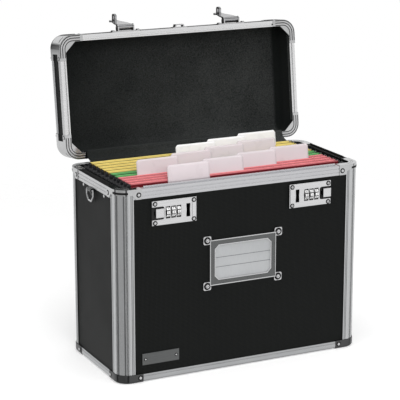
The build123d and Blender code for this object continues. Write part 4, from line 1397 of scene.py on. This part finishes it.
def cut_window(piece, low, high):
    """Cuts the cloth along the four sides of a box on the front wall and takes out what lies inside."""
    work = bmesh.new()
    work.from_mesh(piece.data)
    for point, way in ((low, (1, 0, 0)), (low, (0, 0, 1)), (high, (1, 0, 0)), (high, (0, 0, 1))):
        every = work.verts[:] + work.edges[:] + work.faces[:]
        bmesh.ops.bisect_plane(work, geom=every, plane_co=point, plane_no=way)
    inside = []
    for face in work.faces:
        spot = face.calc_center_median()
        if low.x < spot.x < high.x and low.z < spot.z < high.z and spot.y < high.y:
            inside.append(face)
    bmesh.ops.delete(work, geom=inside, context="FACES")
    work.to_mesh(piece.data)
    work.free()


print("cloth", round(cloth_thick / MM, 1), "mm thick")

# %% [markdown]
# The case lining has two windows, one for each lock body. The lid lining turns into its floor with a wide
# soft radius.

# %% Linings
window_gap = Vector((0.5 * MM, 0, 0.5 * MM))
case_lo, case_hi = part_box("case_lining")
case_cloth = pan_lining(
    "case_lining_cloth", (case_hi.x - cloth, case_hi.y - cloth), 12 * MM,
    (246 * MM, case_lo.z + cloth), 4 * MM, case_pile, "case", Matrix.Identity(4), "case_lining")
lock_lo, lock_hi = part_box("lock_cases")
lock_inner = min(abs(vert.co.x) for vert in nodes["lock_cases"].data.vertices)
for near, far in ((lock_inner, lock_hi.x), (lock_lo.x, -lock_inner)):
    low = Vector((near, lock_lo.y, lock_lo.z)) - window_gap
    high = Vector((far, lock_hi.y, lock_hi.z)) + window_gap
    cut_window(case_cloth, low, high)
lid_inside = max((lid_shut @ vert.co).z for vert in nodes["lid_lining"].data.vertices)
pan_lining(
    "lid_lining_cloth", (half_width - 5.5 * MM, half_depth - 5.5 * MM), 12.5 * MM,
    (lid_rim + 2.5 * MM, lid_inside - cloth), 12.5 * MM, lining_pile, "lid", lid_opening, "lid_lining")
print("lid lining floor at", round(lid_inside / MM, 2))

# %% [markdown]
# ## Cloth over the hinge
# A strip of the same cloth bridges the gap between case and lid and hides the hinge. Its lower edge is
# glued inside the case, its upper edge inside the lid, and it folds as the lid shuts. A path of points
# across the gap shapes it.

# %% Hinge cloth
strip_path = [
    (71.2, 243.0), (71.2, 249.0), (71.0, 254.0), (71.6, 257.0), (73.6, 258.6), (77.0, 259.3),
    (80.8, 260.8), (83.6, 263.6), (85.0, 266.6), (86.4, 268.7), (89.2, 269.2), (92.0, 268.0),
    (95.2, 266.4), (99.5, 265.2), (105.0, 264.4),
]
strip_half = 147.5 * MM
strip_thick = 0.7 * MM
chance = random.Random(7)
ripples = random_waves(chance, 4, (0.1, 0.35), (3, 9))
strip_rows = []
for x in evenly(-strip_half, strip_half, 61):
    share = x / strip_half
    lift = wave_height(ripples, share)
    row = []
    for index, (y, z) in enumerate(strip_path):
        loose = math.sin(math.pi * index / (len(strip_path) - 1))
        row.append((x, y * MM - lift * loose * 0.7, z * MM + lift * loose))
    strip_rows.append(row)
strip_mesh = surface("hinge_cloth", strip_rows)
strip_mesh.materials.append(lining_pile)
hinge_cloth = bpy.data.objects.new("hinge_cloth", strip_mesh)
scene.collection.objects.link(hinge_cloth)
thicken(hinge_cloth, strip_thick, 0)
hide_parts("hinge_cover")
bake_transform(hinge_cloth)

# %% [markdown]
# ## Dials
# Each dial is a notched ring with ten figures round it. The figures could be an image, but they would blur
# from nearby. So they are letters turned into mesh, made once for all six dials.

# %% Figures
dial_radius = 8 * MM
figure_size = 3.3 * MM
figure_width = 0.9
figure_proud = 0.02 * MM
figure_step = 360 / 10


def figure_mesh(number):
    letters = bpy.data.curves.new("figure", "FONT")
    letters.body = str(number)
    letters.size = figure_size
    letters.extrude = 0.1 * MM
    letters.align_x = letters.align_y = "CENTER"
    letters.resolution_u = 2
    holder = bpy.data.objects.new("figure", letters)
    scene.collection.objects.link(holder)
    graph = bpy.context.evaluated_depsgraph_get()
    mesh = bpy.data.meshes.new_from_object(holder.evaluated_get(graph))
    bpy.data.objects.remove(holder)
    return mesh


figures = [figure_mesh(number) for number in range(10)]
print("figures", len(figures))

# %% [markdown]
# The figures are bent round each dial so that every dial shows another number. The lands they stand on are
# pale, and the notches between them take black plastic as painted shade.

# %% Dials
notch_gap = 0.07 * MM


def dial_figures(name, centre, shown):
    """The ten figures bent round a dial, with the shown one in front."""
    work = bmesh.new()
    for number, mesh in enumerate(figures):
        before = len(work.verts)
        work.from_mesh(mesh)
        work.verts.ensure_lookup_table()
        middle = math.radians((number - shown) * figure_step)
        for vert in work.verts[before:]:
            angle = middle + vert.co.y / dial_radius
            out = dial_radius + vert.co.z + figure_proud
            bent = Vector((vert.co.x * figure_width, -out * math.cos(angle), out * math.sin(angle)))
            vert.co = centre + bent
    mesh = bpy.data.meshes.new(name)
    work.to_mesh(mesh)
    work.free()
    return mesh


def in_dial_notch(axle, centre, normal):
    """True for the notches, the chamfers and the flat sides of a dial: all but the ten lands. They take
    painted shade.
    """
    from_axle = math.hypot(centre.y - axle.y, centre.z - axle.z)
    return from_axle < dial_radius - notch_gap or abs(normal.x) > 0.4


shown_numbers = {"left": (3, 8, 0), "right": (5, 1, 7)}
for side in ("left", "right"):
    for number in (1, 2, 3):
        node = f"dial_{side}_{number}"
        lo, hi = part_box(node)
        axle = (lo + hi) / 2
        dress(node, dial_ivory, 0.15 * MM, 35, (lock_black, partial(in_dial_notch, axle)))
        mesh = dial_figures(node + "_figures", axle, shown_numbers[side][number - 1])
        add_piece(node + "_figures", mesh, figure_black, node)
print("dials ready")

# %% [markdown]
# ## Floor, backdrop and light
# A pale round floor keeps a soft shadow and fades out into a white world. Metal shows what stands round it.
# In a studio, white boards and black flags stand round bright metal. So for glossy rays the world is a
# pattern of bright and dark fields, and the floor is left out of their way. Nothing else sees the pattern.

# %% Floor
floor_reach = 1.1
floor_sides = 64
floor_glow = 0.3


def floor_finish():
    """Pale and matt, brighter for the camera, clear towards its rim and for glossy rays."""
    paint = bpy.data.materials.new("floor_paint")
    paint.use_nodes = True
    tree = paint.node_tree
    tree.nodes.clear()
    rays = put(tree, "ShaderNodeLightPath").outputs
    matt = put(tree, "ShaderNodeBsdfDiffuse", {"Color": (0.9, 0.9, 0.9, 1)})
    strength = times(tree, rays["Is Camera Ray"], floor_glow)
    glow = put(tree, "ShaderNodeEmission", {"Color": (1, 1, 1, 1), "Strength": strength})
    laid = put(tree, "ShaderNodeAddShader", {0: matt.outputs[0], 1: glow.outputs[0]})
    clear = put(tree, "ShaderNodeBsdfTransparent")
    where = put(tree, "ShaderNodeTexCoord").outputs["Object"]
    far = put(tree, "ShaderNodeVectorMath", {0: where}, operation="LENGTH").outputs["Value"]
    fade = maths(tree, "MAXIMUM", spread(tree, far, 0, 1, 0.5, 1.0), rays["Is Glossy Ray"])
    whole = between(tree, fade, laid.outputs[0], clear.outputs[0])
    put(tree, "ShaderNodeOutputMaterial", {"Surface": whole})
    return paint


floor_mesh = bpy.data.meshes.new("floor")
floor_angles = evenly(0, 2 * math.pi, floor_sides + 1)[:-1]
floor_ring = [(floor_reach * math.cos(angle), floor_reach * math.sin(angle), 0) for angle in floor_angles]
floor_mesh.from_pydata(floor_ring, [], [list(range(floor_sides))])
floor_mesh.materials.append(floor_finish())
floor = bpy.data.objects.new("floor", floor_mesh)
scene.collection.objects.link(floor)
print("floor laid")

# %% [markdown]
# The bands go from straight down to straight up, each with its own brightness. A dark field stands at an
# azimuth, fades between an outer and an inner angle, and lets a share of the light through. Real boards
# would do the same, but they would also have to be kept out of every other ray.

# %% World
band_levels = (
    (0.0, 0.55), (0.30, 0.85), (0.49, 1.05), (0.55, 0.75), (0.58, 1.0),
    (0.69, 1.0), (0.74, 0.08), (0.85, 0.06), (0.89, 1.1), (1.0, 1.1),
)
dark_fields = (
    (-152, 52, 20, 0.56), (-104, 9, 5, 0.1), (163, 11, 6, 0.15), (-12, 7, 3, 0.2), (40, 6, 3, 0.3),
)
low_field = (64, 70, 40)
low_share = 0.06
room_light = 0.42
white = (1, 1, 1, 1)

world = bpy.data.worlds.new("studio")
scene.world = world
world.use_nodes = True
sky = world.node_tree
sky.nodes.clear()
looking = put(sky, "ShaderNodeTexCoord").outputs["Generated"]
height = put(sky, "ShaderNodeSeparateXYZ", {"Vector": looking}).outputs[2]
level_part = put(sky, "ShaderNodeVectorMath", {0: looking, 1: (1, 1, 0)}, operation="MULTIPLY").outputs[0]
level_way = put(sky, "ShaderNodeVectorMath", {0: level_part}, operation="NORMALIZE").outputs[0]


def toward(azimuth, outer, inner):
    """1 within `inner` degrees of an azimuth, falling to 0 at `outer` degrees."""
    way = (math.cos(math.radians(azimuth)), math.sin(math.radians(azimuth)), 0)
    near = put(sky, "ShaderNodeVectorMath", {0: level_way, 1: way}, operation="DOT_PRODUCT")
    ends = (math.cos(math.radians(angle)) for angle in (outer, inner))
    return spread(sky, near.outputs["Value"], 0, 1, *ends)


def kept(mask, share):
    """A factor that is 1 outside the mask and `share` inside it."""
    return maths(sky, "SUBTRACT", 1.0, times(sky, mask, 1.0 - share))


bands = put(sky, "ShaderNodeValToRGB", {0: spread(sky, height, 0, 1, -1, 1)})
while len(bands.color_ramp.elements) < len(band_levels):
    bands.color_ramp.elements.new(0.5)
for element, (position, level) in zip(bands.color_ramp.elements, band_levels):
    element.position = position
    element.color = (level, level, level, 1)
slab_bottom = spread(sky, height, 0, 1, -0.2, -0.12)
slab_top = spread(sky, height, 1, 0, 0.06, 0.14)
back_low = times(sky, toward(*low_field), times(sky, slab_bottom, slab_top))
pattern = times(sky, bands.outputs[0], kept(back_low, low_share))
for azimuth, outer, inner, share in dark_fields:
    pattern = times(sky, pattern, kept(toward(azimuth, outer, inner), share))
metal_sees = put(sky, "ShaderNodeBackground", {"Strength": pattern}).outputs[0]
rest_sees = put(sky, "ShaderNodeBackground", {"Color": white, "Strength": room_light}).outputs[0]
camera_sees = put(sky, "ShaderNodeBackground", {"Color": white, "Strength": 1.0}).outputs[0]
sky_rays = put(sky, "ShaderNodeLightPath").outputs
unseen = between(sky, sky_rays["Is Glossy Ray"], rest_sees, metal_sees)
whole_sky = between(sky, sky_rays["Is Camera Ray"], unseen, camera_sees)
put(sky, "ShaderNodeOutputWorld", {"Surface": whole_sky})
print("world ready")

# %% [markdown]
# Four wide lamps light the box softly: one above, a stronger one in front and a weak one on each side. They
# are left out of the metal's mirror, where they would show as hard white shapes.

# %% Lamps


def soft_lamp(name, spot, target, size, power):
    """A flat lamp that faces its target and isn't mirrored in the metal."""
    data = bpy.data.lights.new(name, "AREA")
    data.shape = "RECTANGLE"
    data.size, data.size_y = size
    data.energy = power
    lamp = bpy.data.objects.new(name, data)
    lamp.location = spot
    lamp.rotation_mode = "QUATERNION"
    lamp.rotation_quaternion = (Vector(target) - Vector(spot)).to_track_quat("-Z", "Y")
    lamp.visible_glossy = False
    scene.collection.objects.link(lamp)


lamps = (
    ("lamp_top", (-0.1, -0.1, 2.0), 0.2, (1.8, 1.8), 16),
    ("lamp_front", (-0.5, -2.2, 1.3), 0.25, (1.4, 1.2), 24),
    ("lamp_left", (-2.0, -0.6, 1.2), 0.2, (1.0, 1.2), 9),
    ("lamp_right", (2.0, -1.0, 1.2), 0.2, (1.0, 1.4), 9),
)
for name, spot, target_height, size, power in lamps:
    soft_lamp(name, spot, (0, 0, target_height), size, power)
print("lamps hung", len(lamps))
